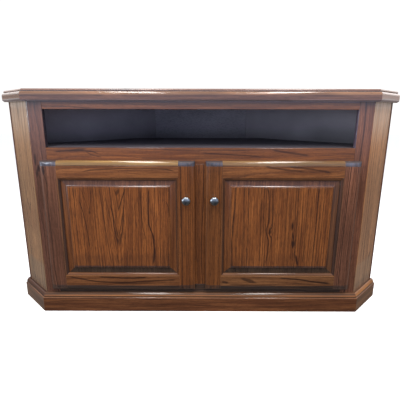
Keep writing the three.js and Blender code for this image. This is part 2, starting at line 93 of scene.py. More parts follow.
# ---------------------------------------------------------- node graph helper
class Graph:
    def __init__(self, tree):
        self.t = tree
        tree.nodes.clear()

    def node(self, kind, **props):
        n = self.t.nodes.new(kind)
        for k, v in props.items():
            setattr(n, k, v)
        return n

    def put(self, socket, v):
        if isinstance(v, bpy.types.NodeSocket):
            self.t.links.new(v, socket)
        else:
            socket.default_value = v

    def math(self, op, a, b=None, c=None, clamp=False):
        n = self.node("ShaderNodeMath", operation=op, use_clamp=clamp)
        for i, v in enumerate((a, b, c)):
            if v is not None:
                self.put(n.inputs[i], v)
        return n.outputs[0]

    def add(self, a, b):
        return self.math("ADD", a, b)

    def sub(self, a, b):
        return self.math("SUBTRACT", a, b)

    def mul(self, a, b):
        return self.math("MULTIPLY", a, b)

    def vmath(self, op, a, b=None, out=0):
        n = self.node("ShaderNodeVectorMath", operation=op)
        self.put(n.inputs[0], a)
        if b is not None:
            self.put(n.inputs[1], b)
        return n.outputs[out]

    def dot(self, a, b):
        return self.vmath("DOT_PRODUCT", a, b, out=1)

    def xyz(self, x, y, z):
        n = self.node("ShaderNodeCombineXYZ")
        for i, v in enumerate((x, y, z)):
            self.put(n.inputs[i], v)
        return n.outputs[0]

    def split(self, v):
        n = self.node("ShaderNodeSeparateXYZ")
        self.put(n.inputs[0], v)
        return n.outputs

    def step(self, x, lo, hi, a=0.0, b=1.0, kind="SMOOTHSTEP"):
        n = self.node("ShaderNodeMapRange", interpolation_type=kind, clamp=True) if kind == "LINEAR" else self.node("ShaderNodeMapRange", interpolation_type=kind)
        self.put(n.inputs[0], x)
        for i, v in zip((1, 2, 3, 4), (lo, hi, a, b)):
            self.put(n.inputs[i], v)
        return n.outputs[0]

    def noise(self, vec, scale=1.0, detail=2.0, rough=0.5, dims="3D", w=None, distort=0.0):
        n = self.node("ShaderNodeTexNoise", noise_dimensions=dims)
        if dims == "1D":
            self.put(n.inputs["W"], w)
        else:
            self.put(n.inputs["Vector"], vec)
        self.put(n.inputs["Scale"], scale)
        self.put(n.inputs["Detail"], detail)
        self.put(n.inputs["Roughness"], rough)
        self.put(n.inputs["Distortion"], distort)
        return n.outputs[0]

    def white1(self, w):
        n = self.node("ShaderNodeTexWhiteNoise", noise_dimensions="1D")
        self.put(n.inputs["W"], w)
        return n.outputs[0]

    def mix(self, f, a, b, kind="MIX"):
        n = self.node("ShaderNodeMix", data_type="RGBA", blend_type=kind, clamp_factor=True)
        self.put(n.inputs[0], f)
        self.put(n.inputs[6], a if isinstance(a, bpy.types.NodeSocket) else (*a[:3], 1.0))
        self.put(n.inputs[7], b if isinstance(b, bpy.types.NodeSocket) else (*b[:3], 1.0))
        return n.outputs[2]

    def scale_color(self, col, f):
        n = self.node("ShaderNodeMix", data_type="RGBA", blend_type="MULTIPLY")
        self.put(n.inputs[0], 1.0)
        self.put(n.inputs[6], col)
        comb = self.node("ShaderNodeCombineColor")
        for i in range(3):
            self.put(comb.inputs[i], f)
        self.put(n.inputs[7], comb.outputs[0])
        return n.outputs[2]


def new_material(name):
    m = bpy.data.materials.new(name)
    m.use_nodes = True
    return m, Graph(m.node_tree)


def finish_material(g, base, rough, bump_height=None, bump_mm=0.1, **fixed):
    out = g.node("ShaderNodeOutputMaterial")
    b = g.node("ShaderNodeBsdfPrincipled")
    g.put(b.inputs["Base Color"], base)
    g.put(b.inputs["Roughness"], rough)
    for k, v in fixed.items():
        b.inputs[k].default_value = v
    if bump_height is not None:
        n = g.node("ShaderNodeBump")
        n.inputs["Strength"].default_value = 1.0
        n.inputs["Distance"].default_value = bump_mm / 1000.0
        g.put(n.inputs["Height"], bump_height)
        g.put(b.inputs["Normal"], n.outputs[0])
        if fixed.get("Coat Weight", 0) > 0:
            g.put(b.inputs["Coat Normal"], n.outputs[0])
    g.t.links.new(b.outputs[0], out.inputs[0])
    return b


# ------------------------------------------------------------------ oak
UP, XX, YY = (0, 0, 1), (1, 0, 0), (0, 1, 0)
AXES = {  # along the grain, across it in the face, into the board
    "upright": (UP, XX, YY),
    "level": (XX, UP, YY),
    "left_upright": (UP, (-C, C, 0), (C, C, 0)),
    "right_upright": (UP, (C, C, 0), (-C, C, 0)),
    "left_level": ((-C, C, 0), UP, (C, C, 0)),
    "right_level": ((C, C, 0), UP, (-C, C, 0)),
    "top": (XX, YY, (0, 0, -1)),
    "inward_upright": (UP, YY, XX),
    "shelf": (XX, YY, UP),
}

# light, middle and dark of the stained wood; the pores take half the dark
TONES = {
    "rail": ((0.330, 0.120, 0.036), (0.190, 0.062, 0.018), (0.062, 0.021, 0.009)),
    "stile": ((0.205, 0.082, 0.046), (0.118, 0.044, 0.023), (0.036, 0.014, 0.009)),
    "inner": ((0.285, 0.088, 0.020), (0.165, 0.048, 0.010), (0.040, 0.014, 0.006)),
    "panel": ((0.385, 0.120, 0.027), (0.215, 0.061, 0.014), (0.036, 0.013, 0.007)),
    # the side panels' wood is given paler, tanner tones than the front's: a painted sheen
    "side": ((0.500, 0.245, 0.095), (0.350, 0.160, 0.057), (0.150, 0.062, 0.022)),
    "slab": ((0.200, 0.092, 0.055), (0.120, 0.050, 0.030), (0.052, 0.021, 0.013)),
    "base": ((0.205, 0.078, 0.031), (0.118, 0.041, 0.017), (0.038, 0.014, 0.007)),
    "ply": ((0.330, 0.180, 0.085), (0.220, 0.110, 0.048), (0.110, 0.050, 0.022)),
}


ALBEDO = 0.62


def vein_line(g, points, l):
    """A grain line given as (along, across) points in mm: how far across it lies at each place along the board."""
    l0, l1 = points[0][0], points[-1][0]
    lo, hi = min(p[1] for p in points) - 1.0, max(p[1] for p in points) + 1.0
    c = g.node("ShaderNodeFloatCurve")
    curve = c.mapping.curves[0]
    curve.points[0].location = (0.0, (points[0][1] - lo) / (hi - lo))
    curve.points[1].location = (1.0, (points[-1][1] - lo) / (hi - lo))
    for pl, pw in points[1:-1]:
        curve.points.new((pl - l0) / (l1 - l0), (pw - lo) / (hi - lo))
    c.mapping.update()
    g.put(c.inputs["Value"], g.math("DIVIDE", g.sub(l, l0), l1 - l0, clamp=True))
    return g.math("MULTIPLY_ADD", c.outputs[0], hi - lo, lo)


def oak(name, axes, tone, centre, w0=-120.0, n0=70.0, tw=0.0, tn=0.0, ring=6.0, wob=10.0, seed=0.0,
        contrast=1.0, knots=(), gloss=0.09, coat=1.0, gain=(1.0, 1.0, 1.0), streaks=(), veins=(), bands=(),
        end_grain=None, boards=0.0, calm=1.0, ripples=1.0, phase=0.0, painted_light_lift=None):
    """Stained oak under varnish, cut as a board out of a log: rings about a pith line (w0, n0) mm from the board's
    centre, leaning by tw and tn mm per mm. A knot is (w, l, half width, half length, push in mm), a streak is
    (w, l, lean, half width, half length, amount), a vein is (points, half width, amount) and a band is
    (axis, place, half width, softness, amount, colour). Bands paint stain, and also painted highlights, painted sheen
    and painted shade."""
    m, g = new_material(name)
    along, across, inward = AXES[axes]
    tc = g.node("ShaderNodeTexCoord")
    p = g.vmath("SUBTRACT", tc.outputs["Object"], to_m(centre))
    k = 1000.0
    l = g.dot(p, tuple(k * x for x in along))
    w = g.dot(p, tuple(k * x for x in across))
    n = g.dot(p, tuple(k * x for x in inward))
    s = float(seed) * 17.31
    if boards:
        # edge-glued boards: each has its own place in the log
        row = g.math("FLOOR", g.math("DIVIDE", w, boards))
        jump = g.mul(g.sub(g.white1(g.add(row, 3.7 + s)), 0.5), 400.0)
        l_t = g.add(l, g.mul(jump, 3.0))
        w_t = g.add(g.sub(w, g.mul(row, boards)), g.mul(jump, 0.35))
    else:
        l_t, w_t = l, w
    big = g.noise(g.xyz(g.math("MULTIPLY_ADD", w_t, 1 / 110.0, s), g.mul(n, 1 / 110.0), g.mul(l_t, 1 / 380.0)), detail=1.0)
    big2 = g.noise(g.xyz(g.math("MULTIPLY_ADD", w_t, 1 / 90.0, s + 40.0), g.mul(n, 1 / 110.0), g.mul(l_t, 1 / 300.0)), detail=1.0)
    mid = g.noise(g.xyz(g.math("MULTIPLY_ADD", w_t, 1 / 21.0, s + 9.0), g.mul(n, 1 / 21.0), g.mul(l_t, 1 / 120.0)), detail=2.0)
    dx = g.add(g.math("MULTIPLY_ADD", l_t, tw, g.sub(w_t, w0)), g.add(g.mul(g.sub(big, 0.5), 2.6 * wob), g.mul(g.sub(mid, 0.5), 0.55 * wob)))
    dn = g.add(g.math("MULTIPLY_ADD", l_t, -tn, g.math("MULTIPLY_ADD", n, -1.0, n0)), g.mul(g.sub(big2, 0.5), 2.2 * wob))
    r = g.math("SQRT", g.add(g.mul(dx, dx), g.mul(dn, dn)))
    ripple = g.noise(g.xyz(g.math("MULTIPLY_ADD", w_t, 1 / 5.0, s), g.mul(n, 1 / 5.0), g.mul(l_t, 1 / 30.0)), detail=1.0)
    r = g.add(r, g.mul(g.sub(ripple, 0.5), 0.30 * ring))
    shade_spots = None
    for (kw, kl, aw, al, push) in knots:
        ew_ = g.mul(g.sub(w, kw), 1.0 / aw)
        el_ = g.mul(g.sub(l, kl), 1.0 / al)
        d2 = g.add(g.mul(ew_, ew_), g.mul(el_, el_))
        bump = g.math("EXPONENT", g.mul(d2, -1.0))
        r = g.add(r, g.mul(bump, push))
        spot = g.step(g.add(d2, g.mul(g.sub(mid, 0.5), 0.6)), 0.35, 0.02)
        shade_spots = spot if shade_spots is None else g.math("MAXIMUM", shade_spots, spot)
    for (sw, sl, lean, aw, al, amount) in streaks:
        ew_ = g.mul(g.math("MULTIPLY_ADD", g.sub(l, sl), -lean, g.sub(w, sw)), 1.0 / aw)
        el_ = g.mul(g.sub(l, sl), 1.0 / al)
        d2 = g.add(g.add(g.mul(ew_, ew_), g.mul(el_, el_)), g.add(g.mul(g.sub(mid, 0.5), 1.0), g.mul(g.sub(ripple, 0.5), 1.0)))
        spot = g.mul(g.step(d2, 1.05, 0.20), amount)
        shade_spots = spot if shade_spots is None else g.math("MAXIMUM", shade_spots, spot)
    for (points, half, amount) in veins:
        off = g.math("ABSOLUTE", g.add(g.sub(w, vein_line(g, points, l)), g.mul(g.sub(ripple, 0.5), 2.0)))
        wide = g.math("MULTIPLY_ADD", mid, 1.6 * half, 0.2 * half)
        ends = g.mul(g.step(l, points[0][0] - 9.0, points[0][0] + 9.0), g.step(l, points[-1][0] + 9.0, points[-1][0] - 9.0))
        spot = g.mul(g.mul(g.step(g.math("DIVIDE", off, wide), 1.35, 0.45), ends), amount)
        shade_spots = spot if shade_spots is None else g.math("MAXIMUM", shade_spots, spot)
    rho = g.add(g.mul(r, 1.0 / ring), g.mul(g.noise(None, dims="1D", w=g.math("MULTIPLY_ADD", r, 0.21 / ring, s), detail=1.0), 2.2))
    if phase:
        rho = g.add(rho, phase)
    f = g.math("FRACT", rho)
    rank = g.white1(g.add(g.math("FLOOR", rho), s))
    # rings cut flat, at the tip of a cathedral, blur out
    tip = g.step(g.math("ABSOLUTE", dx), 0.0, 14.0, 0.50, 1.0)
    strong = g.mul(g.math("MULTIPLY_ADD", g.mul(rank, rank), 0.80, 0.30), tip)
    fade = g.math("MULTIPLY_ADD", rank, 0.22, 0.40)
    early = g.mul(g.mul(g.step(f, 0.0, 0.08), g.step(g.math("DIVIDE", f, fade), 1.0, 0.18)), strong)
    thin_rho = g.math("FRACT", g.mul(r, 2.7 / ring))
    faint = g.mul(g.step(thin_rho, 0.0, 0.15), g.step(thin_rho, 0.7, 0.2))
    fibre = g.noise(g.xyz(g.math("MULTIPLY_ADD", w_t, 1 / 4.0, s), g.mul(n, 1 / 4.0), g.mul(l_t, 1 / 150.0)), detail=4.0, rough=0.68)
    streak = g.noise(g.xyz(g.math("MULTIPLY_ADD", w_t, 1 / 10.0, s + 3.0), g.mul(n, 1 / 10.0), g.mul(l_t, 1 / 240.0)), detail=2.0)
    broad = g.noise(g.xyz(g.math("MULTIPLY_ADD", w_t, 1 / 70.0, s + 5.0), g.mul(n, 1 / 70.0), g.mul(l_t, 1 / 300.0)), detail=1.0)
    pore_n = g.noise(g.xyz(g.math("MULTIPLY_ADD", w_t, 1 / 0.8, s), g.mul(n, 1 / 0.8), g.mul(l_t, 1 / 10.0)), detail=0.0)
    pore = g.mul(g.step(pore_n, 0.56, 0.70), g.math("MULTIPLY_ADD", early, 0.75, 0.30))
    dash_n = g.noise(g.xyz(g.math("MULTIPLY_ADD", w_t, 1 / 2.0, s + 21.0), g.mul(n, 1 / 2.0), g.mul(l_t, 1 / 26.0)), detail=1.0)
    dash = g.step(dash_n, 0.50, 0.66)
    light, middle, dark = (tuple(ALBEDO * h * x for x, h in zip(c, gain)) for c in TONES[tone])
    col = g.mix(g.step(g.add(g.mul(fibre, 0.55), g.mul(streak, 0.45)), 0.40, 0.60), light, middle)
    col = g.mix(g.mul(faint, 0.22 * contrast), col, dark)
    col = g.mix(g.mul(dash, 0.42 * contrast), col, dark)
    col = g.mix(g.mul(early, 0.98 * contrast), col, dark)
    col = g.mix(g.mul(pore, 0.70), col, tuple(0.5 * x for x in dark))
    if shade_spots is not None:
        col = g.mix(g.mul(shade_spots, 0.92), col, tuple(0.55 * x for x in dark))
    for (axis, place_, half, soft, amount, colour) in bands:
        c = {"w": w, "l": l, "n": n}[axis]
        near = g.step(g.math("ABSOLUTE", g.sub(c, place_)), half + soft, half)
        patch = g.math("MULTIPLY_ADD", g.sub(fibre, 0.5), 1.6, 1.0)
        grainy = g.mix(g.step(streak, 0.42, 0.62), tuple(ALBEDO * x for x in colour), tuple(ALBEDO * 0.60 * x for x in colour))
        col = g.mix(g.math("MULTIPLY", g.mul(near, amount), patch, clamp=True), col, grainy)
    geo = g.node("ShaderNodeNewGeometry")
    bev = g.node("ShaderNodeBevel", samples=4)
    bev.inputs["Radius"].default_value = 0.0016
    edge = g.sub(1.0, g.dot(bev.outputs[0], geo.outputs["Normal"]))
    # worn paler edges along the arrises, also a painted highlight line along them
    edge_wear_highlight_noise = g.noise(g.xyz(g.mul(w, 1 / 9.0), g.mul(n, 1 / 9.0), g.mul(l, 1 / 16.0)), detail=3.0, rough=0.6)
    edge_wear_and_highlight = g.mul(g.step(edge, 0.015, 0.16), g.step(edge_wear_highlight_noise, 0.40, 0.66))
    # painted shade: darker in the board's own crevices, from ambient occlusion
    ao = g.node("ShaderNodeAmbientOcclusion", samples=4, only_local=True)
    ao.inputs["Distance"].default_value = 0.009
    painted_crevice_shade = g.step(ao.outputs["AO"], 0.90, 0.40)
    col = g.mix(g.mul(painted_crevice_shade, 0.85), col, tuple(0.35 * x for x in dark))
    col = g.mix(g.mul(edge_wear_and_highlight, 0.45), col, tuple(min(1.0, 1.25 * x + 0.02) for x in light))
    tint = g.math("MULTIPLY_ADD", g.sub(broad, 0.5), 0.60 * calm, 1.0)
    if painted_light_lift is not None:
        # painted light: paler toward one end of the board, where more light falls: (from, to, how much)
        tint = g.mul(tint, g.step(l, painted_light_lift[0], painted_light_lift[1], 1.0, 1.0 + painted_light_lift[2]))
    col = g.scale_color(col, tint)
    if end_grain is not None:
        # end grain soaks up more stain: faces whose normal runs along the board
        nl = g.math("ABSOLUTE", g.dot(geo.outputs["Normal"], along))
        col = g.mix(g.step(nl, end_grain[0], end_grain[1]), col, tuple(ALBEDO * x for x in end_grain[2]))
    rough = g.math("MULTIPLY_ADD", pore, 0.18, g.math("MULTIPLY_ADD", fibre, 0.12, 0.45))
    peel = g.noise(g.xyz(g.mul(w, 1 / 3.5), g.mul(n, 1 / 3.5), g.mul(l, 1 / 4.5)), detail=1.0)
    height = g.add(g.mul(pore, -0.55), g.add(g.mul(early, -0.22), g.add(g.mul(peel, 0.30 * ripples), g.mul(fibre, 0.16))))
    finish_material(g, col, rough, height, 0.075, **{
        "Coat Weight": coat, "Coat Roughness": gloss, "Coat IOR": 1.5, "IOR": 1.45, "Specular IOR Level": 0.12})
    return m


def black_stain(name, tone=(1.0, 1.0, 1.0), even=False):
    m, g = new_material(name)
    tc = g.node("ShaderNodeTexCoord")
    p = g.vmath("SCALE", tc.outputs["Object"])
    p.node.inputs["Scale"].default_value = 1000.0
    x, y, z = g.split(p)
    fibre = g.noise(g.xyz(g.mul(x, 1 / 40.0), g.mul(y, 1 / 2.0), g.mul(z, 1 / 2.0)), detail=2.0)
    cloud = g.noise(g.xyz(g.mul(x, 1 / 120.0), g.mul(y, 1 / 90.0), g.mul(z, 1 / 90.0)), detail=2.0)
    pore = g.step(g.noise(g.xyz(g.mul(x, 1 / 9.0), g.mul(y, 1 / 0.7), g.mul(z, 1 / 0.7)), detail=0.0), 0.58, 0.70)
    f = g.add(g.mul(fibre, 0.4), g.mul(cloud, 0.6))
    # painted light: paler toward the back corner, against the shade deep in the bay
    painted_back_light = g.step(y, -240.0, 240.0, kind="LINEAR")
    def shade(c):
        return tuple(a * b for a, b in zip(c, tone))

    faint = g.mix(g.step(f, 0.35, 0.65), shade((0.330, 0.300, 0.337)), shade((0.380, 0.345, 0.390)))
    full = g.mix(g.step(f, 0.35, 0.65), shade((0.118, 0.106, 0.124)), shade((0.145, 0.131, 0.152)))
    col = full if even else g.mix(painted_back_light, full, faint)
    # painted light: paler on the left than on the right
    col = g.scale_color(col, g.step(x, 100.0, 460.0, 1.14, 0.86))
    if not even:
        # painted light and shade on the bay's walls: much paler toward the top, darker toward the back, paler on the
        # right wall, and darker low down on the right
        col = g.scale_color(col, g.step(z, 588.0, 700.0, 0.50, 2.25, kind="LINEAR"))
        col = g.scale_color(col, g.step(y, 40.0, 260.0, 1.0, 0.60, kind="LINEAR"))
        col = g.scale_color(col, g.step(x, 470.0, 600.0, 1.0, 1.55, kind="LINEAR"))
        foot = g.mul(g.step(x, 400.0, 500.0), g.step(z, 612.0, 668.0, 0.40, 0.0))
        col = g.scale_color(col, g.sub(1.0, foot))
    col = g.mix(g.mul(pore, 0.4), col, (0.015, 0.015, 0.018))
    rough = g.math("MULTIPLY_ADD", fibre, 0.12, 0.55)
    finish_material(g, col, rough, g.add(g.mul(pore, -0.6), g.mul(fibre, 0.25)), 0.06, **{
        "Coat Weight": 0.0, "Specular IOR Level": 0.25})
    return m


def ply_edge(name, axis):
    m, g = new_material(name)
    tc = g.node("ShaderNodeTexCoord")
    p = g.vmath("SCALE", tc.outputs["Object"])
    p.node.inputs["Scale"].default_value = 1000.0
    t = g.dot(p, axis)
    x, y, z = g.split(p)
    layer = g.math("FRACT", g.mul(t, 1 / 3.1))
    n = g.noise(g.xyz(g.mul(x, 1 / 3.0), g.mul(y, 1 / 3.0), g.mul(z, 1 / 3.0)), detail=3.0)
    light_ply = g.mix(n, (0.46, 0.29, 0.15), (0.34, 0.19, 0.09))
    dark_ply = g.mix(n, (0.20, 0.10, 0.05), (0.12, 0.06, 0.03))
    glue = g.math("MAXIMUM", g.step(layer, 0.06, 0.0), g.math("MULTIPLY", g.step(layer, 0.47, 0.50), g.step(layer, 0.56, 0.53)))
    col = g.mix(g.step(layer, 0.46, 0.54), light_ply, dark_ply)
    col = g.mix(g.mul(glue, 0.8), col, (0.05, 0.025, 0.012))
    finish_material(g, col, g.math("MULTIPLY_ADD", n, 0.2, 0.55), g.mul(n, 0.6), 0.08, **{"Specular IOR Level": 0.3})
    return m


def metal(name, light, dark, rough0, rough1, scale=1.0, coat=0.0):
    m, g = new_material(name)
    tc = g.node("ShaderNodeTexCoord")
    p = g.vmath("SCALE", tc.outputs["Object"])
    p.node.inputs["Scale"].default_value = 1000.0 / scale
    x, y, z = g.split(p)
    fine = g.noise(g.xyz(g.mul(x, 2.2), g.mul(y, 0.5), g.mul(z, 2.2)), detail=3.0, rough=0.6)
    blot = g.noise(g.xyz(g.mul(x, 1 / 6.0), g.mul(y, 1 / 6.0), g.mul(z, 1 / 6.0)), detail=3.0)
    geo = g.node("ShaderNodeNewGeometry")
    bev = g.node("ShaderNodeBevel", samples=4)
    bev.inputs["Radius"].default_value = 0.0008
    edge = g.sub(1.0, g.dot(bev.outputs[0], geo.outputs["Normal"]))
    ao = g.node("ShaderNodeAmbientOcclusion", samples=4, only_local=True)
    ao.inputs["Distance"].default_value = 0.004
    col = g.mix(g.step(blot, 0.35, 0.65), light, dark)
    # painted shade: darker in the part's own crevices, from ambient occlusion
    col = g.mix(g.mul(g.step(ao.outputs["AO"], 0.9, 0.3), 0.75), col, tuple(0.25 * c for c in dark))
    col = g.mix(g.mul(g.step(edge, 0.01, 0.15), 0.5), col, tuple(min(1, 1.35 * c) for c in light))
    rough = g.math("MULTIPLY_ADD", fine, rough1 - rough0, rough0)
    finish_material(g, col, rough, g.add(g.mul(fine, 0.5), g.mul(blot, 0.5)), 0.02, **{"Metallic": 1.0})
    return m


def rubber(name):
    m, g = new_material(name)
    tc = g.node("ShaderNodeTexCoord")
    n = g.noise(g.vmath("MULTIPLY", tc.outputs["Object"], (900.0, 900.0, 900.0)), detail=3.0)
    col = g.mix(n, (0.30, 0.29, 0.27), (0.46, 0.45, 0.42))
    finish_material(g, col, g.math("MULTIPLY_ADD", n, 0.2, 0.45), n, 0.03, **{"Subsurface Weight": 0.15, "Subsurface Scale": 0.002})
    return m


# ------------------------------------------------------------ mesh utilities
def build_mesh(name, verts, faces):
    me = bpy.data.meshes.new(name)
    me.from_pydata([tuple(v) for v in verts], [], [tuple(f) for f in faces])
    me.validate()
    me.update()
    return me


def outward(me):
    bm = bmesh.new()
    bm.from_mesh(me)
    bmesh.ops.recalc_face_normals(bm, faces=bm.faces)
    if bm.calc_volume(signed=True) < 0:
        bmesh.ops.reverse_faces(bm, faces=bm.faces)
    bm.to_mesh(me)
    bm.free()


def cad_mesh(node, name):
    """The node's own shape as a clean mesh: welded, coplanar triangles joined."""
    src = NODES[node].data
    bm = bmesh.new()
    for v in src.vertices:
        bm.verts.new(v.co)
    bm.verts.ensure_lookup_table()
    for p in src.polygons:
        try:
            bm.faces.new([bm.verts[i] for i in p.vertices])
        except ValueError:
            pass
    bmesh.ops.remove_doubles(bm, verts=bm.verts, dist=2e-6)
    bmesh.ops.dissolve_limit(bm, angle_limit=math.radians(0.4), verts=bm.verts, edges=bm.edges)
    me = bpy.data.meshes.new(name)
    bm.to_mesh(me)
    bm.free()
    outward(me)
    return me


def place(name, me, node, mats, smooth=34.0, bevel=0.0, segments=2, split_z=None, pick=None, others=()):
    """Makes the piece that stands for a CAD node."""
    if split_z is not None:
        bm = bmesh.new()
        bm.from_mesh(me)
        bmesh.ops.bisect_plane(bm, geom=bm.verts[:] + bm.edges[:] + bm.faces[:], plane_co=(0, 0, split_z / 1000.0), plane_no=(0, 0, 1))
        bm.to_mesh(me)
        bm.free()
    mats = mats if isinstance(mats, (list, tuple)) else [mats]
    me.materials.clear()
    for m in mats:
        me.materials.append(m)
    if pick is not None:
        for p in me.polygons:
            c = p.center
            p.material_index = pick((c.x * 1000.0, c.y * 1000.0 - Y_SHIFT, c.z * 1000.0), p.normal)
    for p in me.polygons:
        p.use_smooth = True
    me.set_sharp_from_angle(angle=math.radians(smooth))
    o = bpy.data.objects.new(name, me)
    bpy.context.scene.collection.objects.link(o)
    if bevel:
        b = o.modifiers.new("edges", "BEVEL")
        b.width = bevel / 1000.0
        b.segments = segments
        b.limit_method = "ANGLE"
        b.angle_limit = math.radians(30)
        b.harden_normals = False
        b.use_clamp_overlap = True
    wn = o.modifiers.new("normals", "WEIGHTED_NORMAL")
    wn.keep_sharp = True
    wn.weight = 90
    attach(o, BODY_OF[node])
    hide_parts(node, *others)
    lo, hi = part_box(node)
    dg = bpy.context.evaluated_depsgraph_get()
    e = o.evaluated_get(dg)
    cs = [o.matrix_world @ Vector(c) for c in e.bound_box]
    l2 = [min(c[i] for c in cs) for i in range(3)]
    h2 = [max(c[i] for c in cs) for i in range(3)]
    off = max(max(abs(l2[i] - lo[i]), abs(h2[i] - hi[i])) for i in range(3))
    over = max(max(lo[i] - l2[i], h2[i] - hi[i]) for i in range(3))
    if off > 0.0006 or over > 0.0003:
        print(f"SIZE {name}: differs from {node} by {off * 1000:.2f} mm, over by {over * 1000:.2f} mm")
    return o


def prism(points, fn, name):
    """A closed outline mapped by fn(point, end) at both ends."""
    n = len(points)
    verts = [to_m(fn(p, 0)) for p in points] + [to_m(fn(p, 1)) for p in points]
    faces = [tuple(range(n))[::-1], tuple(range(n, 2 * n))]
    faces += [(i, (i + 1) % n, n + (i + 1) % n, n + i) for i in range(n)]
    me = build_mesh(name, verts, faces)
    outward(me)
    return me


def fillet(points, radii, segs=4):
    """Rounds the corners of an open or closed outline; radii maps index to radius."""
    out, n = [], len(points)
    for i, p in enumerate(points):
        r = radii.get(i, 0)
        if not r:
            out.append(p)
            continue
        a, b = Vector(points[i - 1]), Vector(points[(i + 1) % n])
        q = Vector(p)
        da, db = (a - q), (b - q)
        la, lb = da.length, db.length
        da.normalize()
        db.normalize()
        ang = math.acos(max(-1, min(1, da.dot(db))))
        t = min(r / math.tan(ang / 2), 0.45 * la, 0.45 * lb)
        rr = t * math.tan(ang / 2)
        cdir = (da + db).normalized()
        centre = q + cdir * (rr / math.sin(ang / 2))
        p0, p1 = q + da * t, q + db * t
        a0 = math.atan2(p0.y - centre.y, p0.x - centre.x)
        a1 = math.atan2(p1.y - centre.y, p1.x - centre.x)
        d = (a1 - a0 + math.pi) % (2 * math.pi) - math.pi
        for j in range(segs + 1):
            a_ = a0 + d * j / segs
            out.append((centre.x + rr * math.cos(a_), centre.y + rr * math.sin(a_)))
    return out


def arc(u0, z0, u1, z1, n, vertical_first):
    pts = []
    for i in range(n + 1):
        a = math.pi / 2 * i / n
        if vertical_first:
            pts.append((u0 + (u1 - u0) * (1 - math.cos(a)), z0 + (z1 - z0) * math.sin(a)))
        else:
            pts.append((u0 + (u1 - u0) * math.sin(a), z0 + (z1 - z0) * (1 - math.cos(a))))
    return pts


CORNER = (-FACE_HALF, 0.0)
D, E, OUT = (-C, C), (C, C), (-C, -C)


def plan(d, e):
    return (CORNER[0] + D[0] * d + E[0] * e, CORNER[1] + D[1] * d + E[1] * e)


def moulding(section, which, name):
    """which: front, left or right"""
    if which == "front":
        origin, direction, out, length, ma, mb = CORNER, (1, 0), (0, -1), 2 * FACE_HALF, MITRE, MITRE
    else:
        origin, direction, out, length, ma, mb = CORNER, D, OUT, CANT_LEN, MITRE, 0.0
    side = -1 if which == "right" else 1

    def fn(p, end):
        u, z = p
        s = (length + mb * u - GAP / 2) if end else (-ma * u + GAP / 2)
        return (side * (origin[0] + direction[0] * s + out[0] * u), origin[1] + direction[1] * s + out[1] * u, z)
    return prism(section, fn, name)


def boolean(a, b, op, name):
    oa = bpy.data.objects.new("bool_a", a)
    ob = bpy.data.objects.new("bool_b", b)
    for o in (oa, ob):
        bpy.context.scene.collection.objects.link(o)
    m = oa.modifiers.new("b", "BOOLEAN")
    m.operation = op
    m.object = ob
    m.solver = "MANIFOLD"
    dg = bpy.context.evaluated_depsgraph_get()
    me = bpy.data.meshes.new_from_object(oa.evaluated_get(dg), preserve_all_data_layers=False, depsgraph=dg)
    me.name = name
    bpy.data.objects.remove(oa)
    bpy.data.objects.remove(ob)
    if not me.polygons:
        raise RuntimeError(f"boolean {name} came out empty")
    return me


def tidy(me, angle=0.3):
    bm = bmesh.new()
    bm.from_mesh(me)
    bmesh.ops.remove_doubles(bm, verts=bm.verts, dist=1e-6)
    bmesh.ops.dissolve_limit(bm, angle_limit=math.radians(angle), verts=bm.verts, edges=bm.edges)
    bm.to_mesh(me)
    bm.free()
    return me


def lathe(profile, x, z, segs, name):
    """Turned about a line parallel to Y through (x, z); profile is (radius, y), starting and ending on the axis."""
    verts, faces = [], []
    rings = []
    for (r, y) in profile:
        if r < 1e-6:
            rings.append([len(verts)])
            verts.append(to_m((x, y, z)))
        else:
            ring = []
            for i in range(segs):
                a = 2 * math.pi * i / segs
                ring.append(len(verts))
                verts.append(to_m((x + r * math.cos(a), y, z + r * math.sin(a))))
            rings.append(ring)
    for a, b in zip(rings, rings[1:]):
        for i in range(segs):
            j = (i + 1) % segs
            if len(a) == 1 and len(b) == 1:
                continue
            if len(a) == 1:
                faces.append((a[0], b[i], b[j]))
            elif len(b) == 1:
                faces.append((a[i], b[0], a[j]))
            else:
                faces.append((a[i], b[i], b[j], a[j]))
    me = build_mesh(name, verts, faces)
    outward(me)
    return me


def mirrored(me, name):
    m = me.copy()
    m.name = name
    for v in m.vertices:
        v.co.x = -v.co.x
    outward(m)
    return m


# ------------------------------------------------------------------ materials
BLACK = black_stain("black_stain")
BLACK_FLOOR = black_stain("black_stain_floor", tone=(0.62, 0.60, 0.60), even=True)
EDGE_Z = ply_edge("ply_edge_level", (0, 0, 1))
EDGE_L = ply_edge("ply_edge_left", (-C, C, 0))
EDGE_R = ply_edge("ply_edge_right", (C, C, 0))
EDGE_X = ply_edge("ply_edge_x", (1, 0, 0))
EDGE_Y = ply_edge("ply_edge_y", (0, 1, 0))
STEEL = metal("nickel_steel", (0.62, 0.61, 0.58), (0.50, 0.49, 0.47), 0.24, 0.38)
PEWTER = metal("satin_pewter", (0.235, 0.250, 0.262), (0.135, 0.146, 0.155), 0.24, 0.34)
RUBBER = rubber("clear_rubber")


# ----------------------------------------------------------------- top
top_section = [(0.2, 724.0)]
top_section += fillet([(0.2, 724.0), (13.6, 724.0), (13.6, 726.2), (14.4, 726.2)], {1: 0.6}, 4)[1:-1]
top_section += arc(14.4, 726.2, 19.0, 731.6, 12, False)
top_section += arc(19.0, 743.5, 13.4, 753.4, 14, True)
top_section += [(13.0, 753.6), (11.35, 753.75), (11.2, 753.9), (11.2, 755.2), (11.35, 755.35), (12.1, 755.55)]
top_section += arc(12.4, 755.8, 7.6, 762.0, 12, True)
top_section += [(0.2, 762.0)]
TOP_BEAD = 755.45

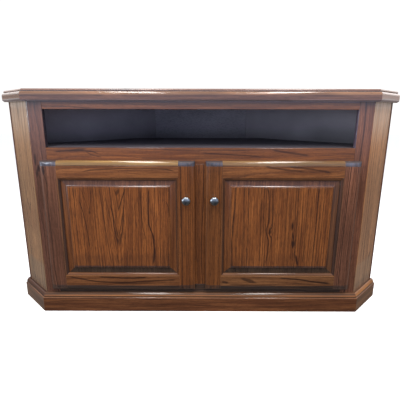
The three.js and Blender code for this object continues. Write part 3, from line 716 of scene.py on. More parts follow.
# painted highlights and painted light on the front of the top moulding: a pale line at the bead, a painted highlight; a
# pale lavender band along the lower round, a painted reflection and painted light against the shade under it; and an
# orange band where the highlight falls
SLAB_PAINTED_LINES = (("w", 12.2, 1.3, 0.7, 0.75, (0.620, 0.520, 0.470)), ("w", -16.5, 3.2, 1.6, 0.70, (0.460, 0.330, 0.330)), ("w", 5.5, 3.5, 3.0, 0.45, (0.46, 0.23, 0.11)))


# painted highlights and painted shade on the canted ends of the top moulding: pale lines along the bead, the ovolo and
# the lower round, painted highlights; a dark line between them, painted shade; a pale lavender band along the lower
# round, painted light against the shade under it; and on the right end a wide pale band, a painted sheen
PAINTED_GLINT = (0.640, 0.590, 0.560)
SLAB_END_PAINTED_LINES = (("w", 11.9, 0.7, 0.5, 0.75, PAINTED_GLINT), ("w", 7.5, 0.6, 0.5, 0.45, (0.060, 0.030, 0.020)), ("w", 3.0, 1.0, 0.8, 0.35, PAINTED_GLINT), ("w", -11.0, 1.0, 0.8, 0.65, PAINTED_GLINT),
             ("w", -16.5, 3.4, 1.4, 0.70, (0.640, 0.550, 0.570)))
RIGHT_END_PAINTED_SHEEN = (("w", -5.0, 13.0, 3.0, 0.34, (0.800, 0.710, 0.690)),) + SLAB_END_PAINTED_LINES


def slab_piece(name, which, node, axes, centre, **look):
    """A top moulding with the bead along its upper edge as a material of its own: duller varnish, with its colour
    painted paler and bluer, a painted sheen.
    """
    body = oak(name, axes, "slab", centre, bands={"front": SLAB_PAINTED_LINES, "left": SLAB_END_PAINTED_LINES, "right": RIGHT_END_PAINTED_SHEEN}[which], **look)
    bead = oak(f"{name}_bead", axes, "slab", centre, **{**look, "gloss": 0.30, "gain": (1.35, 1.42, 1.55)})
    place(name, moulding(top_section, which, name), node, [body, bead], pick=lambda c, n: 1 if c[2] > TOP_BEAD else 0)


place("oak_top_panel", cad_mesh("top_panel", "oak_top_panel"), "top_panel",
      [oak("oak_top", "top", "slab", (0, 280, 762), w0=-40, n0=60, tn=0.01, ring=6.5, seed=1.0, boards=112.0, contrast=0.9, gloss=0.10),
       oak("oak_top_edge", "top", "slab", (0, 280, 762), w0=-40, n0=60, ring=6.5, seed=1.0, gloss=0.2)],
      bevel=0.0, pick=lambda c, n: 0 if n.z > 0.5 else 1)
slab_piece("oak_top_moulding_front", "front", "top_moulding_front", "level", (0, -10, 743), w0=-30, n0=60, tn=0.006, ring=9.0, seed=2.0, contrast=0.95, gain=(0.97, 0.91, 0.88),
           veins=(([(-560, -3), (-430, 1), (-300, -2)], 3.0, 0.55), ([(-250, 4), (-60, 0), (90, 3)], 1.8, 0.4), ([(260, -6), (380, -3), (470, -7)], 2.0, 0.4)))
# the canted ends are painted much paler and bluer than the front by their gain, a painted sheen, the right end more
# than the left
slab_piece("oak_top_moulding_left", "left", "top_moulding_left", "left_level", (-613, 50, 743), w0=-60, n0=40, ring=8.0, seed=3.0, contrast=0.75, gain=(1.55, 1.72, 1.95))
slab_piece("oak_top_moulding_right", "right", "top_moulding_right", "right_level", (613, 50, 743), w0=-50, n0=50, ring=8.0, seed=4.0, contrast=0.75, gain=(2.45, 2.70, 2.98))

# ------------------------------------------------------------- face frame
# the lavender band along the top rail just under the slab is a painted reflection, and painted light against the slab's
# shadow
place("oak_rail_top", cad_mesh("face_rail_top", "oak_rail_top"), "face_rail_top",
      oak("oak_rail_top", "level", "rail", (0, 0, 722), w0=-90, n0=60, tw=0.02, ring=11.0, seed=5.0, contrast=0.7, gain=(1.08, 0.96, 0.90), bands=(("w", 16.0, 11.0, 8.0, 0.75, (0.520, 0.400, 0.520)),)), bevel=0.7)
place("oak_rail_middle", cad_mesh("face_rail_middle", "oak_rail_middle"), "face_rail_middle",
      oak("oak_rail_middle", "level", "rail", (0, 0, 565), w0=-44, n0=34, tn=0.012, ring=15.0, wob=14, seed=6.0, contrast=0.6, gain=(0.84, 0.74, 0.58),
          veins=(([(-470, 2), (-405, 8), (-372, 11)], 2.2, 0.8), ([(-430, 4), (-372, 4), (-335, -3)], 1.8, 0.9), ([(-372, 4), (-352, -8), (-325, -14)], 2.0, 0.7),
                 ([(-120, 9), (20, 6), (150, 8)], 1.6, 0.6), ([(10, -2), (90, -6), (190, -12)], 1.8, 0.8), ([(235, 8), (300, -2), (350, -9)], 3.2, 0.7))), bevel=0.7)
# the bottom rail is painted darker and bluer by its gain: painted shade under the doors
place("oak_rail_bottom", cad_mesh("face_rail_bottom", "oak_rail_bottom"), "face_rail_bottom",
      oak("oak_rail_bottom", "level", "stile", (0, 0, 68), w0=-40, n0=50, ring=6.0, seed=7.0, gain=(0.48, 0.66, 0.76)), bevel=0.7)
# the inner edges of the two stiles facing the bay take a material of their own, recoloured bluer by its gain, a painted
# bluish sheen; the right one painted much paler, painted light against the shade there
BAY_SILL = 579.6
JAMB_LEFT = oak("oak_jamb_left", "upright", "stile", (-524, 0, 372), w0=-70, n0=60, ring=9.0, seed=8.5, contrast=0.6, gain=(0.42, 0.85, 2.1), gloss=0.2)
JAMB_RIGHT = oak("oak_jamb_right", "upright", "stile", (524, 0, 372), w0=160, n0=60, ring=7.0, seed=9.5, contrast=0.6, gain=(1.7, 3.3, 8.0), gloss=0.2)


def jamb(sign):
    return lambda c, n: 1 if (n.x * sign > 0.8 and c[2] > BAY_SILL and abs(c[0]) < 520) else 0


# both face stiles are painted paler toward the top by the lift: painted light
place("oak_stile_left", cad_mesh("face_stile_left", "oak_stile_left"), "face_stile_left",
      [oak("oak_stile_left", "upright", "stile", (-524, 0, 372), w0=-70, n0=60, tw=0.01, ring=9.0, wob=12, seed=8.0, contrast=0.9, gain=(0.92, 0.91, 0.92),
          knots=((-6, 140, 9, 26, 10),), streaks=((-14, 168, 0.05, 3.5, 26, 0.9), (-12, 128, 0.1, 4, 20, 0.8)),
          painted_light_lift=(20, 330, 0.34)), JAMB_LEFT], bevel=1.2, segments=3, split_z=BAY_SILL, pick=jamb(1))
place("oak_stile_right", cad_mesh("face_stile_right", "oak_stile_right"), "face_stile_right",
      [oak("oak_stile_right", "upright", "stile", (524, 0, 372), w0=160, n0=60, ring=7.0, seed=9.0, contrast=1.05, gain=(1.18, 1.09, 0.98),
          painted_light_lift=(20, 330, 0.36)), JAMB_RIGHT], bevel=1.2, segments=3, split_z=BAY_SILL, pick=jamb(-1))
place("oak_stile_centre", cad_mesh("face_stile_centre", "oak_stile_centre"), "face_stile_centre",
      oak("oak_stile_centre", "upright", "inner", (0, 0, 312), w0=-140, n0=60, ring=5.0, seed=10.0), bevel=0.7)

# ------------------------------------------------------------ sides and back
BAY_FLOOR = 570.0


def inner_black(sign):
    inw = Vector((C * -sign, C, 0))

    def pick(c, n):
        if n.dot(inw) > 0.5 and c[2] > BAY_FLOOR:
            return 1
        return 0
    return pick


SIDE_VEINS = {
    "left": (([(60, -52), (160, -46), (300, -30)], 2.2, 0.7), ([(120, 36), (220, 30), (330, 34)], 2.0, 0.6), ([(-190, 58), (-60, 50), (90, 56)], 2.4, 0.6),
             ([(-150, -10), (-20, 4), (120, -8)], 2.0, 0.5), ([(-290, 10), (-230, 26), (-160, 20)], 2.2, 0.6)),
    "right": (([(40, 44), (170, 40), (310, 50)], 2.2, 0.6), ([(-200, -40), (-60, -34), (60, -44)], 2.2, 0.6), ([(-120, 12), (40, 2), (180, 14)], 1.8, 0.5)),
}
for side, sgn in (("left", -1), ("right", 1)):
    cx = sgn * 613.0
    grain = f"{side}_upright"
    # painted light and shade on the side panels: paler toward the top, and paler still just under the slab, against its
    # shadow; greyer and darker near the foot; a dark line just above the base moulding; a darker, warmer band across
    # the middle, strong on the left; and paler toward the top again by the lift
    outer = oak(f"oak_side_{side}", grain, "side", (cx, 58, 372), w0=-15 if side == "left" else 20, n0=48, tn=0.05, ring=9.0, seed=11.0 + sgn,
                veins=SIDE_VEINS[side], bands=(("l", -272.0, 60.0, 22.0, 0.50 if side == "left" else 0.35, (0.290, 0.196, 0.120) if side == "left" else (0.400, 0.270, 0.160)), ("l", 350.0, 30.0, 130.0, 0.30 if side == "left" else 0.38, (0.660, 0.570, 0.470)),
                       ("l", 364.0, 12.0, 30.0, 0.42, (0.880, 0.730, 0.600)),
                       ("l", -300.0, 14.0, 26.0, 0.36, (0.120, 0.066, 0.036)),
                       ("l", -38.0, 20.0, 44.0, 0.45 if side == "left" else 0.05, (0.240, 0.085, 0.028))), contrast=1.1, wob=12, painted_light_lift=(60, 340, 0.38 if side == "left" else 0.62), gain=(0.95, 0.95, 0.99) if side == "left" else (1.13, 1.00, 0.93))
    place(f"oak_side_{side}", cad_mesh(f"side_panel_{side}", f"oak_side_{side}"), f"side_panel_{side}", [outer, BLACK],
          bevel=0.5, split_z=BAY_FLOOR, pick=inner_black(sgn))
    place(f"oak_side_strip_{side}", cad_mesh(f"side_edge_strip_{side}", f"oak_side_strip_{side}"), f"side_edge_strip_{side}",
          [oak(f"oak_side_strip_{side}", grain, "stile", (sgn * 657, 108, 372), w0=90, n0=50, ring=4.0, seed=13.0 + sgn, coat=0.0, gloss=0.55, gain=(0.95, 0.80, 0.58)), BLACK],
          bevel=0.7, split_z=BAY_FLOOR, pick=inner_black(sgn))
    back_axes = "right_upright" if side == "left" else "left_upright"
    inw = Vector((-sgn * C, -C, 0))
    place(f"ply_back_{side}", cad_mesh(f"back_panel_{side}", f"ply_back_{side}"), f"back_panel_{side}",
          [oak(f"ply_back_{side}", back_axes, "ply", (sgn * 440, 337, 372), w0=30, n0=120, ring=9, seed=15.0 + sgn, contrast=0.5, coat=0.12, gloss=0.3), BLACK],
          bevel=0.3, split_z=BAY_FLOOR, pick=lambda c, n, v=inw: 1 if (n.dot(v) > 0.5 and c[2] > BAY_FLOOR) else 0)

place("ply_back_centre", cad_mesh("back_panel_centre", "ply_back_centre"), "back_panel_centre",
      [oak("ply_back_centre", "upright", "ply", (0, 554, 450), w0=20, n0=120, ring=9, seed=18.0, contrast=0.5, coat=0.12, gloss=0.3), BLACK],
      bevel=0.3, split_z=BAY_FLOOR, pick=lambda c, n: 1 if (n.y < -0.5 and c[2] > BAY_FLOOR) else 0)
place("ply_toe_board", cad_mesh("rear_toe_board", "ply_toe_board"), "rear_toe_board",
      oak("ply_toe_board", "level", "ply", (0, 554, 50), w0=60, n0=120, ring=9, seed=19.0, contrast=0.5, coat=0.12, gloss=0.3), bevel=0.3)
place("ply_deck", cad_mesh("bottom_deck", "ply_deck"), "bottom_deck",
      oak("ply_deck", "top", "ply", (0, 250, 98), w0=30, n0=120, ring=9, seed=20.0, contrast=0.5, coat=0.25, gloss=0.2), bevel=0.3)
place("ply_partition", cad_mesh("centre_partition", "ply_partition"), "centre_partition",
      oak("ply_partition", "inward_upright", "ply", (0, 280, 330), w0=30, n0=120, ring=9, seed=21.0, contrast=0.5, coat=0.25, gloss=0.2), bevel=0.3)
place("black_bay_shelf", cad_mesh("compartment_shelf", "black_bay_shelf"), "compartment_shelf",
      [BLACK_FLOOR, oak("ply_bay_underside", "top", "ply", (0, 250, 560), w0=-30, n0=120, ring=9, seed=22.0, contrast=0.5, coat=0.2, gloss=0.25)],
      bevel=0.3, pick=lambda c, n: 1 if n.z < -0.5 else 0)
for side, sgn in (("left", -1), ("right", 1)):
    place(f"ply_shelf_{side}", cad_mesh(f"adjustable_shelf_{side}", f"ply_shelf_{side}"), f"adjustable_shelf_{side}",
          [oak(f"ply_shelf_{side}", "top", "ply", (sgn * 300, 200, 320), w0=10, n0=120, ring=9, seed=23.0 + sgn, contrast=0.5, coat=0.25, gloss=0.2),
           oak(f"oak_shelf_lip_{side}", "level", "inner", (sgn * 300, 40, 320), w0=80, n0=60, ring=5, seed=25.0 + sgn),
           EDGE_Z],
          bevel=0.5, pick=lambda c, n: 1 if n.y < -0.9 else (0 if abs(n.z) > 0.5 else 2))

# ------------------------------------------------------------------ base
base_section = [(0.2, 0.0)]
base_section += fillet([(0.2, 0.0), (17.0, 0.0), (17.0, 50.0)], {1: 0.5}, 4)[1:-1]
base_section += arc(17.0, 50.0, 14.2, 53.4, 10, True)
base_section += [(13.9, 53.5), (12.6, 53.85), (12.4, 54.05), (12.4, 56.45), (12.55, 56.75), (13.15, 57.0)]
ogee = [(13.4, 57.2), (13.0, 58.4), (10.9, 61.9), (8.4, 65.3), (6.8, 67.2), (5.8, 68.0)]
for i in range(16):   # smooth curve through the corners of the slope
    s_ = i / 15 * (len(ogee) - 1)
    k = min(int(s_), len(ogee) - 2)
    f_ = s_ - k
    p0, p1, p2, p3 = ogee[max(k - 1, 0)], ogee[k], ogee[k + 1], ogee[min(k + 2, len(ogee) - 1)]
    base_section.append(tuple(0.5 * (2 * b + (c - a) * f_ + (2 * a - 5 * b + 4 * c - d) * f_ ** 2 + (3 * b - a - 3 * c + d) * f_ ** 3)
                              for a, b, c, d in zip(p0, p1, p2, p3)))
base_section += [(0.2, 68.0)]
# painted shade and painted highlights on the base moulding: dark lines in the quirk and on the ledge against the face
# frame, painted shade; on the front a darker band and an orange band on the slope, a pale line at the top of the face,
# a painted highlight, and a thin dark line, painted shade; on the canted ends a darker slope, painted shade, orange on
# the right, a pale line, a painted highlight, and a recoloured face, greyer on the left, a painted sheen
BASE_PAINTED_SHADE = (0.030, 0.013, 0.008)
BASE_SHADE_LINES = (("w", 21.3, 1.3, 0.7, 0.85, BASE_PAINTED_SHADE), ("n", 8.4, 3.4, 0.8, 0.85, BASE_PAINTED_SHADE))
FRONT_BASE_PAINTED_LINES = BASE_SHADE_LINES + (("w", 30.5, 3.6, 1.2, 0.75, (0.150, 0.060, 0.020)), ("w", 25.2, 1.6, 0.6, 0.8, (0.340, 0.120, 0.026)), ("w", 19.4, 1.0, 0.6, 0.30, (0.460, 0.210, 0.080)), ("w", 29.6, 0.4, 0.4, 0.35, BASE_PAINTED_SHADE),)
LEFT_BASE_PAINTED_LINES = BASE_SHADE_LINES + (("w", 29.0, 5.0, 1.2, 0.90, (0.058, 0.018, 0.007)), ("w", 20.0, 0.6, 0.7, 0.3, (0.45, 0.26, 0.15)), ("w", -8.0, 23.0, 3.0, 0.55, (0.225, 0.152, 0.104)))
RIGHT_BASE_PAINTED_LINES = BASE_SHADE_LINES + (("w", 28.5, 4.5, 1.5, 0.75, (0.420, 0.165, 0.045)), ("w", 20.0, 0.6, 0.7, 0.4, (0.45, 0.24, 0.12)), ("w", -8.0, 23.0, 3.0, 0.35, (0.300, 0.150, 0.060)))
place("oak_base_front", moulding(base_section, "front", "oak_base_front"), "base_moulding_front",
      oak("oak_base_front", "level", "base", (0, -10, 34), w0=-60, n0=60, tn=0.008, ring=10.0, seed=27.0, contrast=0.9, coat=0.45, gain=(1.00, 0.94, 0.82), bands=FRONT_BASE_PAINTED_LINES))
for side, sgn in (("left", -1), ("right", 1)):
    place(f"oak_base_{side}", moulding(base_section, side, f"oak_base_{side}"), f"base_moulding_{side}",
          oak(f"oak_base_{side}", f"{side}_level", "base", (sgn * 613, 50, 34), w0=-50, n0=60, ring=9.0, seed=28.0 + sgn, contrast=0.9, coat=0.3 if sgn < 0 else 0.5, gain=(0.92, 0.84, 0.80) if sgn < 0 else (1.05, 0.88, 0.66), bands=LEFT_BASE_PAINTED_LINES if sgn < 0 else RIGHT_BASE_PAINTED_LINES))

# ------------------------------------------------------------------ doors
DOOR_T, DOOR_GAP = 19.0, 3.0
DOOR_FACE = -DOOR_GAP - DOOR_T
DOOR_OUT, DOOR_IN, DOOR_Z0, DOOR_Z1 = 519.5, 17.5, 85.5, 539.5
MEMBER, STICK_W, FIELD_V = 54.0, 10.0, 32.0
X0, X1 = -DOOR_OUT, -DOOR_IN
JX0, JX1 = X0 + MEMBER, X1 - MEMBER
JZ0, JZ1 = DOOR_Z0 + MEMBER, DOOR_Z1 - MEMBER
HINGE_Z = (165.0, 460.0)


def y_of(t):
    return DOOR_FACE + t


edge_curve = [(0.0, DOOR_T)]
for i in range(17):
    a = math.pi / 2 * i / 16
    edge_curve.append((14.4 * (1 - math.cos(a)), 9.9 - 8.2 * math.sin(a)))
edge_curve += [(15.1, 1.68), (15.24, 1.5), (15.46, 0.12), (15.6, 0.0)]
stick_curve = [(0.0, 0.0), (0.08, 0.1), (0.3, 1.2), (0.45, 1.4)]
for i in range(13):
    a = math.pi / 2 * i / 12
    stick_curve.append((1 + (STICK_W - 1) * math.sin(a), 6.4 - 5 * math.cos(a)))
stick_curve += [(STICK_W, DOOR_T)]


def closed(curve, lo, hi):
    return [(lo + u, y_of(t)) for u, t in curve] + [(hi - u, y_of(t)) for u, t in reversed(curve)]


def opening_outline(lo, hi):
    a = [(lo + v, y_of(t)) for v, t in stick_curve]
    b = [(hi - v, y_of(t)) for v, t in reversed(stick_curve)]
    return [(lo, y_of(-5))] + a + [(lo + STICK_W, y_of(DOOR_T + 5)), (hi - STICK_W, y_of(DOOR_T + 5))] + b + [(hi, y_of(-5))]


def run_z(points, z0, z1, name):
    return prism(points, lambda p, e: (p[0], p[1], z1 if e else z0), name)


def run_x(points, x0, x1, name):
    return prism(points, lambda p, e: (x1 if e else x0, p[1], p[0]), name)


def run_y(points, y0, y1, name):
    return prism(points, lambda p, e: (p[0], y1 if e else y0, p[1]), name)


def box_mesh(x0, x1, y0, y1, z0, z1, name):
    return prism([(x0, z0), (x1, z0), (x1, z1), (x0, z1)], lambda p, e: (p[0], y1 if e else y0, p[1]), name)


blank = boolean(run_z(closed(edge_curve, X0, X1), DOOR_Z0, DOOR_Z1, "t"), run_x(closed(edge_curve, DOOR_Z0, DOOR_Z1), X0, X1, "t"), "INTERSECT", "blank")
hole = boolean(run_z(opening_outline(JX0, JX1), JZ0 - 1, JZ1 + 1, "t"), run_x(opening_outline(JZ0, JZ1), JX0 - 1, JX1 + 1, "t"), "INTERSECT", "hole")
door = boolean(blank, hole, "DIFFERENCE", "door")
door = boolean(door, box_mesh(JX0 + 0.5, JX1 - 0.5, y_of(8), y_of(14), JZ0 + 0.5, JZ1 - 0.5, "t"), "DIFFERENCE", "door")
for hz in HINGE_Z:
    door = boolean(door, lathe([(0, -DOOR_GAP - 13.2), (17.7, -DOOR_GAP - 13.2), (17.7, 2.0), (0, 2.0)], -499.5, hz, 64, "t"), "DIFFERENCE", "door")
door = boolean(door, lathe([(0, DOOR_FACE - 2.0), (2.3, DOOR_FACE - 2.0), (2.3, 2.0), (0, 2.0)], -46.0, 412.0, 24, "t"), "DIFFERENCE", "door")
H = GAP / 2
YA, YB = y_of(-1), y_of(DOOR_T + 1)


def stile_region(edge, joint, s):
    return run_y([(edge - s, DOOR_Z0 - 1), (joint - s * H, DOOR_Z0 - 1), (joint - s * H, JZ0 + H),
                  (joint + s * (STICK_W + 1), JZ0 + STICK_W + 1 + 2 * H), (joint + s * (STICK_W + 1), JZ1 - STICK_W - 1 - 2 * H),
                  (joint - s * H, JZ1 - H), (joint - s * H, DOOR_Z1 + 1), (edge - s, DOOR_Z1 + 1)], YA, YB, "t")


def rail_region(edge, joint, s):
    return run_y([(JX0 + H, edge - s), (JX0 + H, joint - s * H), (JX0 + STICK_W + 1 + 2 * H, joint + s * (STICK_W + 1)),
                  (JX1 - STICK_W - 1 - 2 * H, joint + s * (STICK_W + 1)), (JX1 - H, joint - s * H), (JX1 - H, edge - s)], YA, YB, "t")


parts = {}
for nm, region in (("stile_outer", stile_region(X0, JX0, 1)), ("stile_inner", stile_region(X1, JX1, -1)),
                   ("rail_bottom", rail_region(DOOR_Z0, JZ0, 1)), ("rail_top", rail_region(DOOR_Z1, JZ1, -1))):
    parts[nm] = tidy(boolean(door.copy(), region, "INTERSECT", nm))

panel_curve = [(1.6, 13.7), (1.6, 8.3), (9.4, 8.3), (17.2, 7.6), (25.0, 6.9)]
cove = [(25.0, 6.9), (27.6, 6.2), (29.6, 5.0), (31.0, 3.2), (31.4, 2.6)]
for i in range(1, 17):   # smooth curve through the cove's points
    s_ = i / 16 * (len(cove) - 1)
    k = min(int(s_), len(cove) - 2)
    f_ = s_ - k
    p0, p1, p2, p3 = cove[max(k - 1, 0)], cove[k], cove[k + 1], cove[min(k + 2, len(cove) - 1)]
    panel_curve.append(tuple(0.5 * (2 * b + (c - a) * f_ + (2 * a - 5 * b + 4 * c - d) * f_ ** 2 + (3 * b - a - 3 * c + d) * f_ ** 3)
                             for a, b, c, d in zip(p0, p1, p2, p3)))
panel_curve += [(31.8, 2.6), (31.86, 2.45), (31.98, 1.4), (32.15, 1.2)]
parts["raised_panel"] = tidy(boolean(run_z(closed(panel_curve, JX0, JX1), JZ0, JZ1, "t"), run_x(closed(panel_curve, JZ0, JZ1), JX0, JX1, "t"), "INTERSECT", "panel"))

kf = DOOR_FACE - 0.2
KY = DOOR_FACE - 25.0
knob_profile = [(0, kf - 10.5), (2.2, kf - 10.5), (2.2, kf), (6.2, kf), (6.6, kf - 0.35), (6.75, kf - 0.9), (6.3, kf - 1.7), (5.4, kf - 2.8),
                (4.7, kf - 4.2), (4.3, kf - 6.0), (4.25, kf - 8.2), (4.7, kf - 10.2), (6.0, kf - 11.8), (8.4, kf - 13.1), (11.2, kf - 14.4),
                (13.1, kf - 15.7), (14.0, kf - 17.0), (14.2, kf - 18.2), (14.1, kf - 19.2), (13.75, kf - 20.4), (13.1, kf - 21.5), (12.2, kf - 22.4),
                (11.0, kf - 23.15), (9.4, kf - 23.75), (7.4, kf - 24.2), (5.0, kf - 24.5), (2.5, kf - 24.72), (0, KY)]
parts["knob"] = lathe(knob_profile, -46.0, 412.0, 64, "knob")

# colours of the doors' painted light and shade: a pale line along the sticking, a painted highlight; dark lines in the
# grooves and at the step of the edge moulding, painted shade; a golden band on the top rail's rounded top edge, paler
# worn wood and painted light where it faces up, duller on the right door; a dark bluish band at the stiles' top ends,
# end grain that takes more stain, with a painted bluish sheen; and painted shade at the stiles' foot ends, along the
# panel's lowest edge and over the lower field
PAINTED_HIGHLIGHT_LINE, GROOVE_SHADE, GOLD_WEAR_AND_LIGHT, END_GRAIN_BLUE_SHEEN = (0.34, 0.15, 0.055), (0.030, 0.016, 0.012), (0.385, 0.210, 0.050), (0.070, 0.070, 0.090)
FOOT_END_SHADE = (0.050, 0.035, 0.028)
GOLD_WEAR_AND_LIGHT_DULL, PANEL_FOOT_SHADE, PANEL_SHADE = (0.250, 0.128, 0.034), (0.050, 0.034, 0.030), (0.060, 0.022, 0.010)
# in the door looks the outer stiles are painted paler toward the top, painted light, and the bottom rails carry a
# darker orange band on the sticking and a dark band along the foot, painted shade
DOOR_LOOK = {
    "left": {
        "stile_outer": dict(tone="stile", painted_light_lift=(0, 215, 0.45), w0=-60, n0=40, tw=0.012, ring=9.0, wob=12, seed=31.0, contrast=0.95, gain=(0.90, 0.88, 0.82),
                            knots=((-14, 196, 9, 30, 9),), bands=(("w", 27.5, 0.8, 1.0, 0.5, PAINTED_HIGHLIGHT_LINE), ("w", 33.5, 3.0, 2.0, 0.75, GROOVE_SHADE), ("l", 220.5, 9.0, 1.6, 0.85, END_GRAIN_BLUE_SHEEN), ("l", -217.5, 10.0, 2.5, 0.65, FOOT_END_SHADE))),
        "stile_inner": dict(tone="inner", w0=-120, n0=40, ring=8.0, wob=6, seed=32.0, contrast=0.9, gain=(0.91, 0.91, 0.88),
                            bands=(("w", -27.5, 0.8, 1.0, 0.3, PAINTED_HIGHLIGHT_LINE), ("w", -35.5, 1.2, 1.5, 0.6, GROOVE_SHADE), ("l", 220.5, 9.0, 1.6, 0.85, END_GRAIN_BLUE_SHEEN), ("l", -217.5, 10.0, 2.5, 0.65, FOOT_END_SHADE))),
        "rail_top": dict(tone="rail", coat=0.8, w0=-22, n0=26, tn=0.03, ring=13.0, wob=9, seed=33.0, contrast=0.7, veins=(([(-110, -6), (-20, 2), (90, 4), (180, -4)], 1.8, 0.8),),
                         bands=(("w", 22.5, 8.6, 1.6, 0.82, GOLD_WEAR_AND_LIGHT), ("w", 11.9, 0.9, 0.9, 0.6, GROOVE_SHADE), ("w", -29.0, 1.6, 1.0, 0.5, GROOVE_SHADE), ("w", -34.5, 2.0, 1.5, 0.6, GROOVE_SHADE))),
        "rail_bottom": dict(tone="rail", w0=-34, n0=26, tn=0.03, ring=13.0, wob=10, seed=34.0, contrast=0.7, coat=0.45, gain=(0.74, 0.75, 0.81), bands=(("w", 32.5, 4.6, 1.0, 0.8, (0.170, 0.058, 0.014)), ("w", 28.4, 0.8, 0.8, 0.6, PAINTED_HIGHLIGHT_LINE), ("w", -18.5, 9.5, 2.0, 0.88, (0.048, 0.033, 0.027))), veins=(([(-183, 24), (-142, 16), (-108, 9), (-74, 5), (15, 4), (63, 7), (180, 13)], 2.3, 1.0),
                                   ([(-77, 24), (-40, 23), (-5, 20), (39, 20), (80, 24)], 2.6, 1.0), ([(-60, -5), (12, 0), (90, 3)], 1.5, 0.7))),
        "raised_panel": dict(tone="panel", w0=-5, n0=30, tn=0.062, ring=7.0, wob=5, seed=35.0, phase=0.67, contrast=0.97, gain=(0.93, 0.93, 0.93), bands=(("l", -138.0, 3.2, 1.0, 0.85, PANEL_FOOT_SHADE), ("l", -125.0, 18.0, 26.0, 0.30, PANEL_SHADE)),
                             veins=(([(-125, 108), (-48, 111), (0, 101), (30, 96), (133, 99)], 2.4, 1.0),
                                    ([(-113, 169), (48, 166), (96, 148)], 1.6, 0.8),
                                    ([(-60, -108), (15, -114), (95, -130)], 1.6, 0.9),
                                    ([(65, -3), (95, -5), (133, -12)], 1.8, 0.8), ([(65, -2), (95, 8), (133, 21)], 2.0, 0.9),
                                    ([(-34, -8), (20, -17), (82, -28)], 1.5, 0.8), ([(-34, -7), (10, 3), (60, 13)], 1.5, 0.8),
                                    ([(57, -100), (133, -120)], 1.4, 0.6), ([(57, -98), (133, -88)], 1.3, 0.6),
                                    ([(-122, -37), (0, -50), (132, -61)], 1.3, 0.7), ([(-122, -12), (0, -26), (110, -44)], 1.3, 0.6),
                                    ([(-122, 84), (-60, 86), (10, 76), (133, 72)], 1.3, 0.7)),
                             streaks=((114, -90, 0.05, 4, 30, 0.8), (-3, 125, 0.3, 6, 12, 0.7), (-99, 56, 0.0, 4, 7, 0.6))),
    },
    "right": {
        "stile_outer": dict(tone="stile", painted_light_lift=(20, 215, 0.55), w0=140, n0=40, ring=7.0, wob=9, seed=41.0, gain=(1.02, 0.99, 0.92), contrast=1.25,
                            bands=(("w", -27.5, 0.8, 1.0, 0.3, PAINTED_HIGHLIGHT_LINE), ("w", -33.0, 4.5, 2.0, 0.8, GROOVE_SHADE), ("l", 220.5, 9.0, 1.6, 0.85, END_GRAIN_BLUE_SHEEN), ("l", -217.5, 10.0, 2.5, 0.65, FOOT_END_SHADE))),
        "stile_inner": dict(tone="inner", w0=120, n0=40, ring=7.0, wob=6, seed=42.0, contrast=0.9, gain=(0.84, 0.88, 0.90),
                            bands=(("w", 27.5, 0.8, 1.0, 0.35, PAINTED_HIGHLIGHT_LINE), ("w", 33.5, 3.0, 2.0, 0.75, GROOVE_SHADE), ("l", 220.5, 9.0, 1.6, 0.85, END_GRAIN_BLUE_SHEEN), ("l", -217.5, 10.0, 2.5, 0.65, FOOT_END_SHADE))),
        "rail_top": dict(tone="rail", coat=0.8, w0=-40, n0=30, tn=0.04, ring=13.0, wob=14, seed=43.0, contrast=0.75, gain=(0.86, 0.86, 0.86),
                         veins=(([(-60, 12), (-20, 4), (60, -4)], 3.5, 0.7), ([(20, 10), (90, 2), (150, -8)], 3.5, 0.7)),
                         bands=(("w", 22.5, 8.6, 1.6, 0.82, GOLD_WEAR_AND_LIGHT_DULL), ("w", 11.9, 0.9, 0.9, 0.6, GROOVE_SHADE), ("w", -29.0, 1.6, 1.0, 0.5, GROOVE_SHADE), ("w", -34.5, 2.0, 1.5, 0.6, GROOVE_SHADE))),
        "rail_bottom": dict(tone="rail", w0=30, n0=26, tn=-0.03, ring=13.0, wob=16, seed=44.0, contrast=0.75, coat=0.45, gain=(0.73, 0.83, 0.98), bands=(("w", 32.5, 4.6, 1.0, 0.75, (0.160, 0.060, 0.018)), ("w", 28.4, 0.8, 0.8, 0.6, PAINTED_HIGHLIGHT_LINE), ("w", -18.5, 9.5, 2.0, 0.88, (0.048, 0.033, 0.027))),
                            veins=(([(12, 20), (75, 16), (124, 8), (180, 2)], 3.0, 1.0), ([(-162, -4), (-90, -6), (0, -4)], 1.5, 0.7), ([(-60, 8), (40, 3), (120, -3)], 1.2, 0.5)),
                            streaks=((11.6, -100, -0.34, 8.0, 34, 0.80), (4.6, -181, -0.2, 5.5, 15, 0.85))),
        "raised_panel": dict(tone="panel", w0=-190, n0=80, ring=8.0, wob=5, seed=45.0, bands=(("l", -138.0, 3.2, 1.0, 0.85, PANEL_FOOT_SHADE), ("l", -125.0, 18.0, 26.0, 0.16, PANEL_SHADE)), gain=(0.87, 0.89, 0.90), contrast=0.92,
                             knots=((-34.5, -10, 9, 30, 10),),
                             streaks=((40, 8, 0.0, 4.5, 20, 1.0), (44, -26, -0.12, 3.5, 22, 1.0), (46, -54, 0.0, 8, 20, 1.0), (62, -112, -0.25, 4.5, 24, 0.95),
                                      (-33, -2, 0.5, 2.5, 14, 0.9), (-34, -22, -0.5, 2.5, 12, 0.8)),
                             veins=(([(-119, 84.4), (43, 84.2), (138, 83.6)], 1.6, 0.8), ([(-119, -43), (-45, -38), (-10, -46), (32, -40), (138, -48)], 1.7, 0.95),
                                    ([(8, -27), (40, -29), (138, -32)], 1.6, 0.9), ([(-119, -64), (0, -66), (100, -66)], 1.5, 0.8),
                                    ([(-119, -30), (-50, -29), (-14, -24)], 1.4, 0.7), ([(-119, 71), (0, 72), (90, 70)], 1.2, 0.6))),
    },
}
